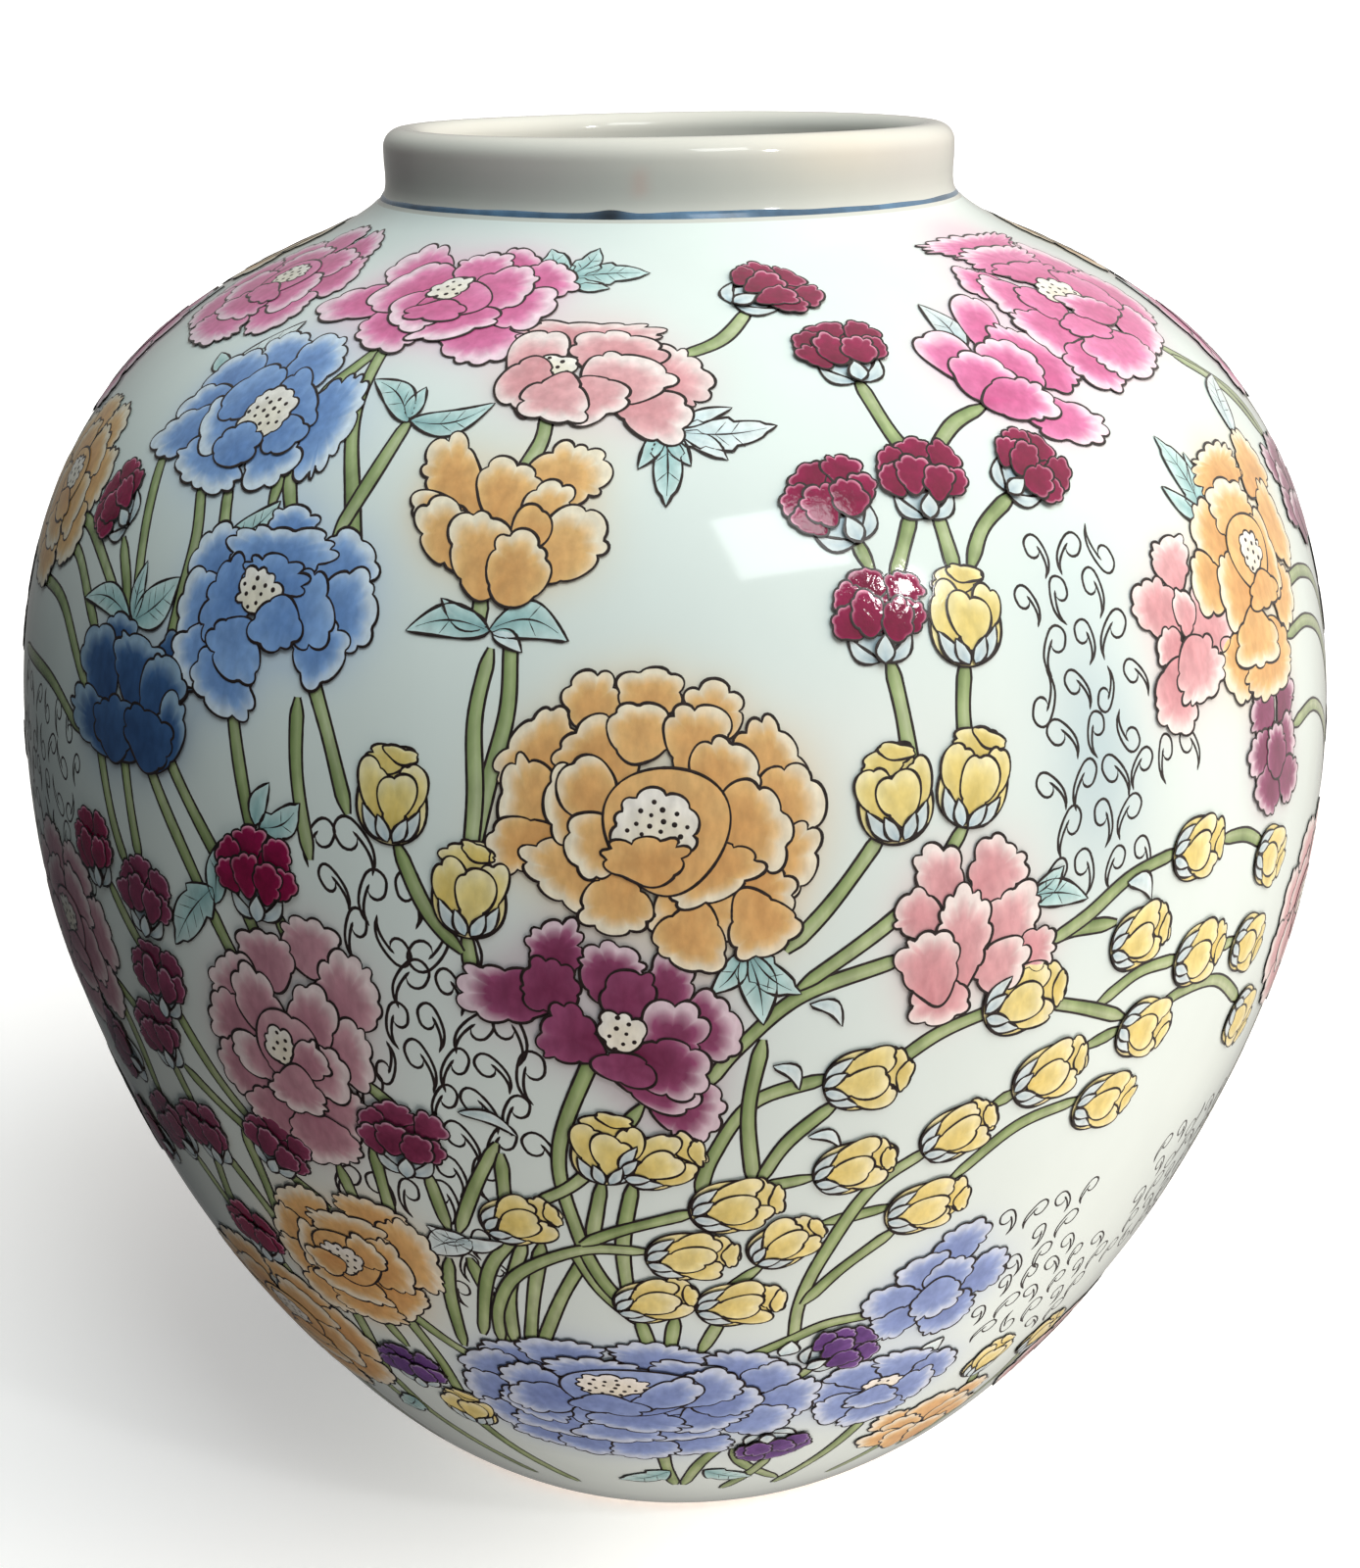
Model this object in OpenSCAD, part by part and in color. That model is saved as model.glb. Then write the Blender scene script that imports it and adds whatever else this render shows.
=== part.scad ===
// Melon-shaped porcelain ginger jar with a low open collar.
// It is thrown in sections that are luted together: a footed base, a lower wall,
// an upper wall that closes to the shoulder, and a separately turned collar.
// The origin is the centre of the foot on the table, and +Z is up.

/* [Body] */
// Greatest diameter of the body
belly_d = 254; // [230:1:300]
// Height of the greatest diameter, where the two walls are luted together
belly_z = 142; // [125:1:160]
// Height of the shoulder, where the collar starts
shoulder_z = 246; // [230:1:275]
// Diameter of the shoulder at the collar
shoulder_d = 108; // [100:1:120]
// Thickness of the thrown wall
wall = 5.8; // [4:0.2:6]

/* [Body curve] */
// How far the upper curve keeps rising upright from the belly
belly_rise = 90; // [60:1:95]
// How far the shoulder curve runs out from the collar
shoulder_run = 18; // [10:1:30]
// Slope of the shoulder at the collar, in degrees below level
shoulder_slope = 40; // [25:1:45]
// How far the lower curve keeps falling upright from the belly
belly_fall = 39; // [25:1:55]
// How far the lower curve runs out from the foot
foot_run = 54; // [35:1:65]
// Slope of the wall at the foot, in degrees above level
foot_slope = 44; // [40:1:60]

/* [Foot] */
// Outer diameter of the foot
foot_d = 135; // [120:1:150]
// Inner diameter of the foot ring
foot_inner_d = 114; // [90:1:116]
// Height of the inside floor above the table
floor_z = 10; // [8:0.5:14]
// Thickness of the base disc
base_t = 6; // [4:0.5:7]
// Rounding of the foot ring's inner edge
foot_edge_r = 1.5; // [0.5:0.1:2]

/* [Collar] */
// Outer diameter of the collar
collar_d = 104.8; // [98:0.2:106]
// Inner diameter of the collar
mouth_d = 90; // [84:0.5:92]
// Height of the collar above the shoulder
collar_h = 13; // [10:0.5:20]
// Height of the blue line round the collar's foot
line_h = 0.9; // [0.5:0.1:1.5]
// Depth that the blue line is let into the collar
line_depth = 0.6; // [0.3:0.1:1]

/* [Resolution] */
// Straight steps along each wall curve
curve_steps = 22; // [12:1:40]

/* [Hidden] */
$fn = 96;
lip_r = (collar_d - mouth_d) / 4;
lip_z = shoulder_z + collar_h - lip_r;

// Control points of the two outline curves, as [radius, height].
belly_point = [belly_d / 2, belly_z];
shoulder_point = [shoulder_d / 2, shoulder_z];
foot_point = [foot_d / 2, 0];
upper_curve = [
    belly_point,
    belly_point + [0, belly_rise],
    shoulder_point + shoulder_run * [cos(shoulder_slope), -sin(shoulder_slope)],
    shoulder_point
];
lower_curve = [
    foot_point,
    foot_point + foot_run * [cos(foot_slope), sin(foot_slope)],
    belly_point - [0, belly_fall],
    belly_point
];

// A point and a tangent of a cubic curve c at t.
function curve_point(c, t) =
    pow(1 - t, 3) * c[0] + 3 * t * pow(1 - t, 2) * c[1] + 3 * t * t * (1 - t) * c[2] + pow(t, 3) * c[3];
function curve_tangent(c, t) =
    pow(1 - t, 2) * (c[1] - c[0]) + 2 * t * (1 - t) * (c[2] - c[1]) + t * t * (c[3] - c[2]);

// Where curve c, which only climbs, is at height z: the interval lo to hi is halved n times.
function curve_t(c, z, lo = 0, hi = 1, n = 30) =
    let (mid = (lo + hi) / 2)
    n == 0 ? mid
    : curve_point(c, mid)[1] < z ? curve_t(c, z, mid, hi, n - 1)
    : curve_t(c, z, lo, mid, n - 1);

function outer_r(c, z) = curve_point(c, curve_t(c, z))[0];

// Level distance through the wall, which keeps its thickness square to the curve.
function level_wall(c, z) =
    let (tangent = curve_tangent(c, curve_t(c, z)))
    wall * norm(tangent) / tangent[1];

function heights(z0, z1, steps) = [for (i = [0 : steps]) z0 + (z1 - z0) * i / steps];

// Closed section of a wall between two heights: up the outside, then down the inside.
module wall_section(c, z0, z1) {
    up = heights(z0, z1, curve_steps);
    down = heights(z1, z0, curve_steps);
    polygon(concat(
        [for (z = up) [outer_r(c, z), z]],
        [for (z = down) [outer_r(c, z) - level_wall(c, z), z]]
    ));
}

// The glazed floor of the jar, inside the foot ring.
module base_disc() {
    color("oldlace")
        translate([0, 0, floor_z - base_t])
            cylinder(d = foot_inner_d, h = base_t);
}

// The turned foot: its outside carries the lower curve on down to the table.
module foot_ring() {
    steps = 4;
    color("linen")
        rotate_extrude()
            difference() {
                polygon(concat(
                    [[foot_inner_d / 2, floor_z], [foot_inner_d / 2, 0]],
                    [for (z = heights(0, floor_z, steps)) [outer_r(lower_curve, z), z]]
                ));
                translate([foot_inner_d / 2, 0])
                    rotate(45)
                        square(foot_edge_r * sqrt(2), center = true);
            }
}

// From the floor to the luted seam at the belly.
module lower_wall() {
    color("ivory")
        rotate_extrude()
            wall_section(lower_curve, floor_z, belly_z);
}

// From the seam over the shoulder to the collar.
module upper_wall() {
    color("ivory")
        rotate_extrude()
            wall_section(upper_curve, belly_z, shoulder_z);
}

// Section of the blue line, flush with the outside of the collar.
module line_section() {
    translate([collar_d / 2 - line_depth, shoulder_z])
        square([line_depth, line_h]);
}

// Upright collar with a fully rounded lip.
module neck_collar() {
    color("floralwhite")
        rotate_extrude()
            difference() {
                union() {
                    translate([mouth_d / 2, shoulder_z])
                        square([2 * lip_r, lip_z - shoulder_z]);
                    translate([mouth_d / 2 + lip_r, lip_z])
                        circle(r = lip_r);
                }
                line_section();
            }
}

// Blue line in the corner between the collar and the shoulder.
module neck_line() {
    color("steelblue")
        rotate_extrude()
            line_section();
}

base_disc();
foot_ring();
lower_wall();
upper_wall();
neck_collar();
neck_line();
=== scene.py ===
import math

import bpy
import numpy as np
from mathutils import Matrix, Vector


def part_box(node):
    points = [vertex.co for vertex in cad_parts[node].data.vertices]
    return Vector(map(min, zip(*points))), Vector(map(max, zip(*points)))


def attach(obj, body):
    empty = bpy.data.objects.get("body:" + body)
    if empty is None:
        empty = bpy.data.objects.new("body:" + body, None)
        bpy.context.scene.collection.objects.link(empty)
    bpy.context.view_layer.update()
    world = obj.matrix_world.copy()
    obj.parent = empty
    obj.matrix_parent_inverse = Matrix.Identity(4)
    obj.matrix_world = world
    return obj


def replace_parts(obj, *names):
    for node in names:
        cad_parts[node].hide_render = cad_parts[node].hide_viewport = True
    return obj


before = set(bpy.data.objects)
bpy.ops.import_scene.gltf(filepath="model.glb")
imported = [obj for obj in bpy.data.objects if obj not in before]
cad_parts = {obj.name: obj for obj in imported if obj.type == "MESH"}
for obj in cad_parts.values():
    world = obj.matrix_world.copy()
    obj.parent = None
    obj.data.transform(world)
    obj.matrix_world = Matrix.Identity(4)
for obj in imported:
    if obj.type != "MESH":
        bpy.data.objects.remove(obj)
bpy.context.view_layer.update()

# ---------------------------------------------------------------- driving sizes
# Everything below is in millimetres and degrees until around() turns it into metres.
# A place on the jar is (turn, climb): degrees to the right of the front, and
# millimetres up along the wall from the foot.

MM = 0.001


def top_of(node):
    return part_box(node)[1] / MM


def foot_of(node):
    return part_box(node)[0] / MM


BELLY_R = top_of("lower_wall").x
BELLY_Z = top_of("lower_wall").z
SHOULDER_Z = foot_of("neck_collar").z
COLLAR_R = top_of("neck_collar").x
COLLAR_Z = top_of("neck_collar").z
SHOULDER_R = 54.0
FOOT_R = 67.5
MOUTH_R = 45.0
WALL = 5.8

# The two curves of the outline, as in the CAD model.
BELLY_RISE, SHOULDER_RUN, SHOULDER_SLOPE = 90.0, 18.0, 40.0
BELLY_FALL, FOOT_RUN, FOOT_SLOPE = 39.0, 54.0, 44.0

# How far the layers of the painting stand off the glaze.
GROUND_LIFT = -0.05
STEM_LIFT = 0.02
STEM_LAYER = 0.024
LEAF_LIFT = 0.19
FLOWER_LIFT = 0.22
LAYER = 0.028
CARNATION_LAYER = 0.06
SCROLL_LIFT = 0.005
SCROLL_LAYER = 0.002
# Stems and commas start again from the lowest layer after so many.
STEM_LAYERS = 7
SCROLL_LAYERS = 5

# Height of a brush line, and widths of the lines and of the stems.
LINE_HEIGHT = 0.012
LINE_WIDTH = 0.47
LEAF_LINE = 0.5
CARNATION_LINE = 0.54
BUD_LINE = 0.44
STEM_LINE = 0.40
STEM_WIDTH = 2.3
# A stem narrows at its ends over this length, and lies over another that comes this near.
STEM_TAPER = 3.2
STEM_CLEARANCE = 0.5

# Petals run on under their neighbours: how far they spread, and how far their foot reaches.
PETAL_SPREAD = 1.12
PETAL_ROOT = 1.35
LOBES_PER_COUNT = 1.8
LOBE_DEPTH = 1.15
# The part of a petal's edge that has lobes, in degrees to each side of its tip.
LOBED_REACH = 124
PETAL_RINGS = np.array([0.12, 0.4, 0.62, 0.8, 0.92, 1.0])
# Paleness of the enamel at a petal's middle.
PETAL_DEPTH = 0.20
# How pale a petal's edge is.
PALE_EDGE = 1.0
DEEP_EDGE = 0.1
BUD_EDGE = 0.6
BUD_SHELL_EDGE = 0.3
# A flower's heart has one dot for each so many square millimetres.
AREA_PER_DOT = 7
# Radians from one dot to the next along their spiral.
DOT_TURN = 2.4

# Scrollwork: height of a comma for each millimetre of its line's width, spacing across and
# up, and how clear its commas stay of petals' edges and of heads' middles.
SCROLL_SIZE = 17.4
SCROLL_ACROSS = 5.9
SCROLL_UP = 6.9
CLEAR_OF_PETALS = 1.4
CLEAR_OF_HEADS = 9.0

# A flower's colour shows this strongly in the glaze, and this far past its petals.
BLEED = 0.42
BLEED_REACH = 1.2

# Over the foot ring the glaze lies this thick, up to this far along the wall.
GLAZE_THICKNESS = 0.12
FOOT_CLIMB = 15.0

rng = np.random.default_rng(7)

# ---------------------------------------------------------------- the outline


def cubic(points, t):
    a, b, c, d = np.array(points, float)
    t = t[:, None]
    return (1 - t) ** 3 * a + 3 * t * (1 - t) ** 2 * b + 3 * t * t * (1 - t) * c + t**3 * d


def outline_curve():
    """Radius, height and length along the wall, from the foot to the shoulder."""
    up, down = math.radians(SHOULDER_SLOPE), math.radians(FOOT_SLOPE)
    t = np.linspace(0, 1, 400)
    lower = cubic(
        [
            (FOOT_R, 0),
            (FOOT_R + FOOT_RUN * math.cos(down), FOOT_RUN * math.sin(down)),
            (BELLY_R, BELLY_Z - BELLY_FALL),
            (BELLY_R, BELLY_Z),
        ],
        t,
    )
    upper = cubic(
        [
            (BELLY_R, BELLY_Z),
            (BELLY_R, BELLY_Z + BELLY_RISE),
            (SHOULDER_R + SHOULDER_RUN * math.cos(up), SHOULDER_Z - SHOULDER_RUN * math.sin(up)),
            (SHOULDER_R, SHOULDER_Z),
        ],
        t[1:],
    )
    curve = np.vstack([lower, upper])
    steps = np.hypot(*np.diff(curve, axis=0).T)
    return curve[:, 0], curve[:, 1], np.r_[0, np.cumsum(steps)]


RADIUS, HEIGHT, CLIMB = outline_curve()
SLOPE_R, SLOPE_Z = np.gradient(RADIUS, CLIMB), np.gradient(HEIGHT, CLIMB)


def waviness(turn, climb):
    """The hand-thrown wall is out of true by a fraction of a millimetre."""
    a = np.radians(turn)
    swell = 0.16 * np.sin(2 * a + 0.6) + 0.10 * np.sin(3 * a + climb / 45 + 1.1)
    rings = 0.07 * np.sin(climb / 9.0 + 0.8 * np.sin(a)) + 0.06 * np.sin(climb / 23.0 + 2 * a)
    fade = np.clip((climb - FOOT_CLIMB) / 25, 0, 1) * np.clip((CLIMB[-1] - climb) / 12, 0, 1)
    return (swell + rings - 0.3) * fade + GLAZE_THICKNESS * (climb < FOOT_CLIMB + 25) * (1 - fade)


def around(turn, radius, z):
    """Points in metres at turns, radii and heights round the jar's axis."""
    a = np.radians(turn)
    return np.stack([radius * np.sin(a), -radius * np.cos(a), z], -1) * MM


def off_wall(climb, off):
    """Radius and height of a place, moved off the outline square to it."""
    r = np.interp(climb, CLIMB, RADIUS) + off * np.interp(climb, CLIMB, SLOPE_Z)
    z = np.interp(climb, CLIMB, HEIGHT) - off * np.interp(climb, CLIMB, SLOPE_R)
    return r, z


def place(turn, climb, lift):
    """Points in metres at places on the jar, lifted square to the wall."""
    return around(turn, *off_wall(climb, lift + waviness(turn, climb)))


def radius_at(climb):
    return float(np.interp(climb, CLIMB, RADIUS))


def degrees_at(climb, length):
    """Degrees round the jar that a length takes up at this height."""
    return math.degrees(length / radius_at(climb))


# ---------------------------------------------------------------- meshes


def inward(points, quads):
    """Whether a grid's faces look towards the jar's axis, summed over the grid."""
    a, b, c, d = (points[quads[:, k]] for k in range(4))
    normal = np.cross(c - a, d - b)
    return float((normal * (a + b + c + d) * (1, 1, 0)).sum()) < 0


class Sheet:
    """Grids of faces with a colour at each point, gathered into one mesh."""

    def __init__(self):
        self.points, self.colours, self.quads, self.tris = [], [], [], []
        self.count = 0

    def add(self, points, colours, quads, tris=None):
        if inward(points, quads):
            quads = quads[:, ::-1]
            tris = None if tris is None else tris[:, ::-1]
        self.points.append(points)
        self.colours.append(np.broadcast_to(colours, (len(points), 3)))
        self.quads.append(quads + self.count)
        if tris is not None:
            self.tris.append(tris + self.count)
        self.count += len(points)

    def add_rows(self, rows, colours, close_columns, close_rows=False):
        """A grid from its rows, with one colour for all of it or a colour for each point."""
        quads = grid_quads(len(rows), len(rows[0]), close_columns, close_rows)
        self.add(np.vstack(rows), colours, quads)

    def piece(self, name, material, slot):
        if not self.count:
            return None
        mesh = self.mesh(name)
        mesh.materials.append(material)
        piece = bpy.data.objects.new(name, mesh)
        bpy.context.collection.objects.link(piece)
        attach(piece, "root")
        return piece

    def mesh(self, name):
        points = np.vstack(self.points)
        quads = np.vstack(self.quads)
        tris = np.vstack(self.tris) if self.tris else np.zeros((0, 3), int)
        mesh = bpy.data.meshes.new(name)
        mesh.vertices.add(len(points))
        mesh.vertices.foreach_set("co", points.ravel())
        mesh.loops.add(quads.size + tris.size)
        mesh.loops.foreach_set("vertex_index", np.r_[quads.ravel(), tris.ravel()])
        mesh.polygons.add(len(quads) + len(tris))
        starts = np.r_[np.arange(len(quads)) * 4, quads.size + np.arange(len(tris)) * 3]
        mesh.polygons.foreach_set("loop_start", starts)
        mesh.polygons.foreach_set("use_smooth", np.ones(len(starts), bool))
        mesh.update(calc_edges=True)
        colour = mesh.color_attributes.new("Paint", "FLOAT_COLOR", "POINT")
        rgba = np.c_[np.vstack(self.colours), np.ones(len(points))]
        colour.data.foreach_set("color", rgba.ravel())
        return mesh


def grid_quads(rows, columns, close_columns, close_rows=False):
    """Faces of a grid whose points run row by row."""
    i = np.arange(rows if close_rows else rows - 1)
    j = np.arange(columns if close_columns else columns - 1)
    i, j = np.meshgrid(i, j, indexing="ij")
    k, above = (j + 1) % columns, (i + 1) % rows
    corners = [i * columns + j, i * columns + k, above * columns + k, above * columns + j]
    return np.stack(corners, -1).reshape(-1, 4)


# ---------------------------------------------------------------- materials


def node_material(name, roughness, coat=0.0):
    material = bpy.data.materials.new(name)
    material.use_nodes = True
    nodes = material.node_tree.nodes
    shader = nodes["Principled BSDF"]
    shader.inputs["Roughness"].default_value = roughness
    shader.inputs["Coat Weight"].default_value = coat
    shader.inputs["Coat Roughness"].default_value = 0.05
    return material, nodes, material.node_tree.links, shader


def noise_node(nodes, links, scale, detail, stretch=(1, 1, 1)):
    """Noise laid out in the jar's own frame."""
    where = nodes.new("ShaderNodeTexCoord")
    mapping = nodes.new("ShaderNodeMapping")
    mapping.inputs["Scale"].default_value = stretch
    noise = nodes.new("ShaderNodeTexNoise")
    noise.inputs["Scale"].default_value = scale
    noise.inputs["Detail"].default_value = detail
    links.new(where.outputs["Object"], mapping.inputs["Vector"])
    links.new(mapping.outputs["Vector"], noise.inputs["Vector"])
    return noise


def ramp_colour(nodes, links, source, low, high):
    """Colour between two stops, each a value and its colour."""
    ramp = nodes.new("ShaderNodeValToRGB")
    for element, (value, colour) in zip(ramp.color_ramp.elements, (low, high)):
        element.position = value
        element.color = (*colour, 1)
    links.new(source, ramp.inputs["Fac"])
    return ramp.outputs["Color"]


def bump_from(nodes, links, shader, height, strength, distance):
    bump = nodes.new("ShaderNodeBump")
    bump.inputs["Strength"].default_value = strength
    bump.inputs["Distance"].default_value = distance
    links.new(height, bump.inputs["Height"])
    links.new(bump.outputs["Normal"], shader.inputs["Normal"])


def multiplied(nodes, links, first, second):
    mix = nodes.new("ShaderNodeMix")
    mix.data_type = "RGBA"
    mix.blend_type = "MULTIPLY"
    mix.inputs["Factor"].default_value = 1.0
    links.new(first, mix.inputs[6])
    links.new(second, mix.inputs[7])
    return mix.outputs[2]


def painted_material(name, roughness, coat, low, high, scale, grain, relief):
    """Colour from the painted points, broken up by brush noise from low to high."""
    material, nodes, links, shader = node_material(name, roughness, coat)
    paint = nodes.new("ShaderNodeVertexColor")
    paint.layer_name = "Paint"
    brush = noise_node(nodes, links, scale, 4.0, grain)
    shade = ramp_colour(nodes, links, brush.outputs["Fac"], (0.35, (low,) * 3), (0.68, (high,) * 3))
    links.new(multiplied(nodes, links, paint.outputs["Color"], shade), shader.inputs["Base Color"])
    fine = noise_node(nodes, links, scale * 1.7, 3.0)
    bump_from(nodes, links, shader, fine.outputs["Fac"], relief, 0.0002)
    return material


def clouded_material(name, roughness, coat, scale, detail, dark, light, relief=0.0, distance=0.0):
    """One colour that drifts between two shades, with a fine relief or none."""
    material, nodes, links, shader = node_material(name, roughness, coat)
    cloud = noise_node(nodes, links, scale, detail).outputs["Fac"]
    colour = ramp_colour(nodes, links, cloud, (0.3, dark), (0.7, light))
    links.new(colour, shader.inputs["Base Color"])
    if relief:
        bump_from(nodes, links, shader, cloud, relief, distance)
    return material


# Name, roughness, coat, least and greatest shade, noise scale, grain, relief.
GLAZE = painted_material("porcelain_glaze", 0.09, 0.35, 0.975, 1.0, 70, (1, 1, 0.6), 0.05)
LINE = painted_material("outline_black", 0.28, 0.2, 0.55, 1.25, 900, (1, 1, 1), 0.1)
ENAMEL = painted_material("wash_enamel", 0.2, 0.3, 0.86, 1.07, 620, (1, 1, 0.5), 0.14)
STEM_ENAMEL = painted_material("stem_enamel", 0.14, 0.5, 0.80, 1.08, 420, (1, 1, 0.3), 0.2)
THICK_ENAMEL = painted_material("thick_enamel", 0.06, 0.5, 0.80, 1.1, 500, (1, 1, 1), 0.4)
BLUE_LINE = painted_material("blue_line_enamel", 0.2, 0.4, 0.7, 1.1, 260, (1, 1, 1), 0.1)

# Name, roughness, coat, noise scale and detail, dark and light shade, relief and its depth.
BARE_FOOT = clouded_material(
    "bare_foot_paste", 0.75, 0, 900, 6, (0.60, 0.50, 0.40), (0.80, 0.73, 0.64), 0.4, 0.0003
)
INSIDE_GLAZE = clouded_material(
    "inside_glaze", 0.12, 0.3, 30, 3, (0.70, 0.73, 0.68), (0.78, 0.80, 0.76), 0.1, 0.0004
)

# Deep, middle and pale tones of each enamel.
TONES = {
    "pink": ((0.50, 0.07, 0.22), (0.70, 0.21, 0.42), (0.84, 0.66, 0.75)),
    "rose": ((0.58, 0.24, 0.27), (0.71, 0.42, 0.44), (0.82, 0.74, 0.72)),
    "blue": ((0.08, 0.19, 0.46), (0.24, 0.41, 0.72), (0.64, 0.76, 0.86)),
    "navy": ((0.015, 0.05, 0.15), (0.05, 0.13, 0.30), (0.28, 0.42, 0.56)),
    "periwinkle": ((0.15, 0.21, 0.46), (0.28, 0.37, 0.64), (0.56, 0.64, 0.78)),
    "orange": ((0.60, 0.30, 0.10), (0.74, 0.48, 0.20), (0.82, 0.76, 0.60)),
    "magenta": ((0.13, 0.014, 0.05), (0.29, 0.075, 0.17), (0.68, 0.55, 0.62)),
    "mauve": ((0.36, 0.14, 0.20), (0.54, 0.31, 0.36), (0.74, 0.64, 0.65)),
    "crimson": ((0.14, 0.002, 0.026), (0.27, 0.004, 0.066), (0.78, 0.34, 0.48)),
    "plum": ((0.12, 0.010, 0.040), (0.25, 0.045, 0.11), (0.64, 0.40, 0.52)),
    "purple": ((0.07, 0.02, 0.13), (0.17, 0.07, 0.28), (0.48, 0.38, 0.60)),
    "yellow": ((0.66, 0.51, 0.13), (0.79, 0.70, 0.32), (0.84, 0.80, 0.56)),
    "white": ((0.32, 0.46, 0.54), (0.54, 0.65, 0.68), (0.68, 0.75, 0.74)),
    "cream": ((0.76, 0.72, 0.58), (0.80, 0.78, 0.70), (0.84, 0.83, 0.78)),
    "teal": ((0.16, 0.34, 0.36), (0.38, 0.60, 0.60), (0.62, 0.78, 0.77)),
    "ice": ((0.42, 0.58, 0.63), (0.62, 0.75, 0.77), (0.76, 0.83, 0.83)),
    "green": ((0.10, 0.17, 0.045), (0.31, 0.40, 0.18), (0.52, 0.59, 0.38)),
}
# The material slot of each flower's and head's enamel.
SLOTS = {
    "pink": "pink_enamel", "rose": "pink_enamel", "mauve": "pink_enamel", "blue": "blue_enamel",
    "navy": "blue_enamel", "periwinkle": "blue_enamel", "orange": "orange_enamel",
    "magenta": "purple_enamel", "purple": "purple_enamel", "crimson": "crimson_enamel",
    "plum": "crimson_enamel",
}
INK = (0.022, 0.014, 0.013)


def tone(name, level):
    """Colour of an enamel at a level from 0, deep, to 1, pale."""
    deep, middle, pale = (np.array(c) for c in TONES[name])
    level = np.clip(level, 0, 1)[..., None]
    low = deep + (middle - deep) * np.clip(level * 2, 0, 1)
    return low + (pale - middle) * np.clip(level * 2 - 1, 0, 1)


def smooth(x):
    x = np.clip(x, 0, 1)
    return x * x * (3 - 2 * x)


def blend(colour, other, share):
    return colour * (1 - share) + np.array(other) * share


# ---------------------------------------------------------------- brushwork


class Chart:
    """A flat sheet of millimetres laid on the jar round one place."""

    def __init__(self, turn, climb, flip=1):
        self.turn, self.climb, self.flip = turn, climb, flip
        self.radius = radius_at(climb)

    def local(self, turn, climb):
        return math.radians(turn - self.turn) * self.radius, climb - self.climb

    def at(self, x, y, lift):
        turn = self.turn + self.flip * np.degrees(x / self.radius)
        return place(turn, self.climb + y, lift)


def turned(x, y, turn):
    """Points of a chart turned clockwise by some degrees."""
    a = math.radians(turn)
    return x * math.cos(a) + y * math.sin(a), -x * math.sin(a) + y * math.cos(a)


def line_normals(dx, dy):
    """Unit normals to the right of a line, from its steps."""
    size = np.maximum(np.hypot(dx, dy), 1e-9)
    return dy / size, -dx / size


# Sections of a brush line: places across its half width, each with its height above the
# line's lift, or None where the line comes down to the enamel or the glaze under it.
CLOSED_BRUSH = [(-1.0, 0.004), (-0.3, LINE_HEIGHT), (0.55, LINE_HEIGHT), (1.0, 0.004), (1.05, None)]
OPEN_BRUSH = [(-1.05, None), (-1.0, 0.0), (-0.4, LINE_HEIGHT), (0.4, LINE_HEIGHT), (1.0, 0.0), (1.05, None)]


def brush(sheet, chart, x, y, normals, half, section, lift, foot, closed):
    """Lay a brush line's section along a path."""
    nx, ny = normals
    rows = []
    for side, rise in section:
        level = foot if rise is None else lift + rise
        rows.append(chart.at(x + nx * half * side, y + ny * half * side, level))
    sheet.add_rows(rows, INK, closed)


def closed_line(sheet, chart, x, y, lift, width=LINE_WIDTH):
    """A brush line round a closed shape, with its outer side brought down to the glaze."""
    m = len(x)
    normals = line_normals(np.roll(x, -1) - np.roll(x, 1), np.roll(y, -1) - np.roll(y, 1))
    swing = np.sin(np.linspace(0, 2 * math.pi, m) * rng.integers(2, 5) + rng.uniform(0, 6))
    half = width / 2 * (0.85 + 0.22 * swing + rng.normal(0, 0.05, m))
    brush(sheet, chart, x, y, normals, half, CLOSED_BRUSH, lift, GROUND_LIFT, True)


def open_line(sheet, chart, x, y, lift, width, taper):
    """A brush line along an open stroke, thin over this share of its length at each end."""
    n = len(x)
    along = np.linspace(0, 1, n)
    ends = np.clip(np.minimum(along, 1 - along) / taper, 0.25, 1) if taper else np.ones(n)
    half = width / 2 * ends * (1 + rng.normal(0, 0.05, n))
    normals = line_normals(np.gradient(x), np.gradient(y))
    brush(sheet, chart, x, y, normals, half, OPEN_BRUSH, lift, max(lift - 0.08, GROUND_LIFT), False)


def smooth_path(points, step):
    """Points about a step apart along a smooth curve through the given ones."""
    p = np.array(points, float)
    if len(p) == 2:
        p = np.vstack([p[0], p.mean(0), p[1]])
    ghost = np.vstack([2 * p[0] - p[1], p, 2 * p[-1] - p[-2]])
    out = []
    for k in range(len(p) - 1):
        a, b, c, d = ghost[k : k + 4]
        n = max(2, int(np.hypot(*(c - b)) / step))
        t = np.linspace(0, 1, n, endpoint=False)[:, None]
        second, third = 2 * a - 5 * b + 4 * c - d, 3 * b - a - 3 * c + d
        out.append(0.5 * (2 * b + (c - a) * t + second * t**2 + third * t**3))
    return np.vstack(out + [p[-1:]])


def scallops(u, count):
    """Rounded lobes with sharp cuts between them, from 0 at a cut to 1 at a crown."""
    cuts = np.linspace(0, 1, count + 1)
    cuts[1:-1] += rng.uniform(-0.30, 0.30, count - 1) / count
    size = rng.uniform(0.55, 1.2, count)
    k = np.clip(np.searchsorted(cuts, u) - 1, 0, count - 1)
    v = np.clip((u - cuts[k]) / (cuts[k + 1] - cuts[k]), 0, 1)
    return np.sin(math.pi * v) ** 0.5 * size[k]


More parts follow.
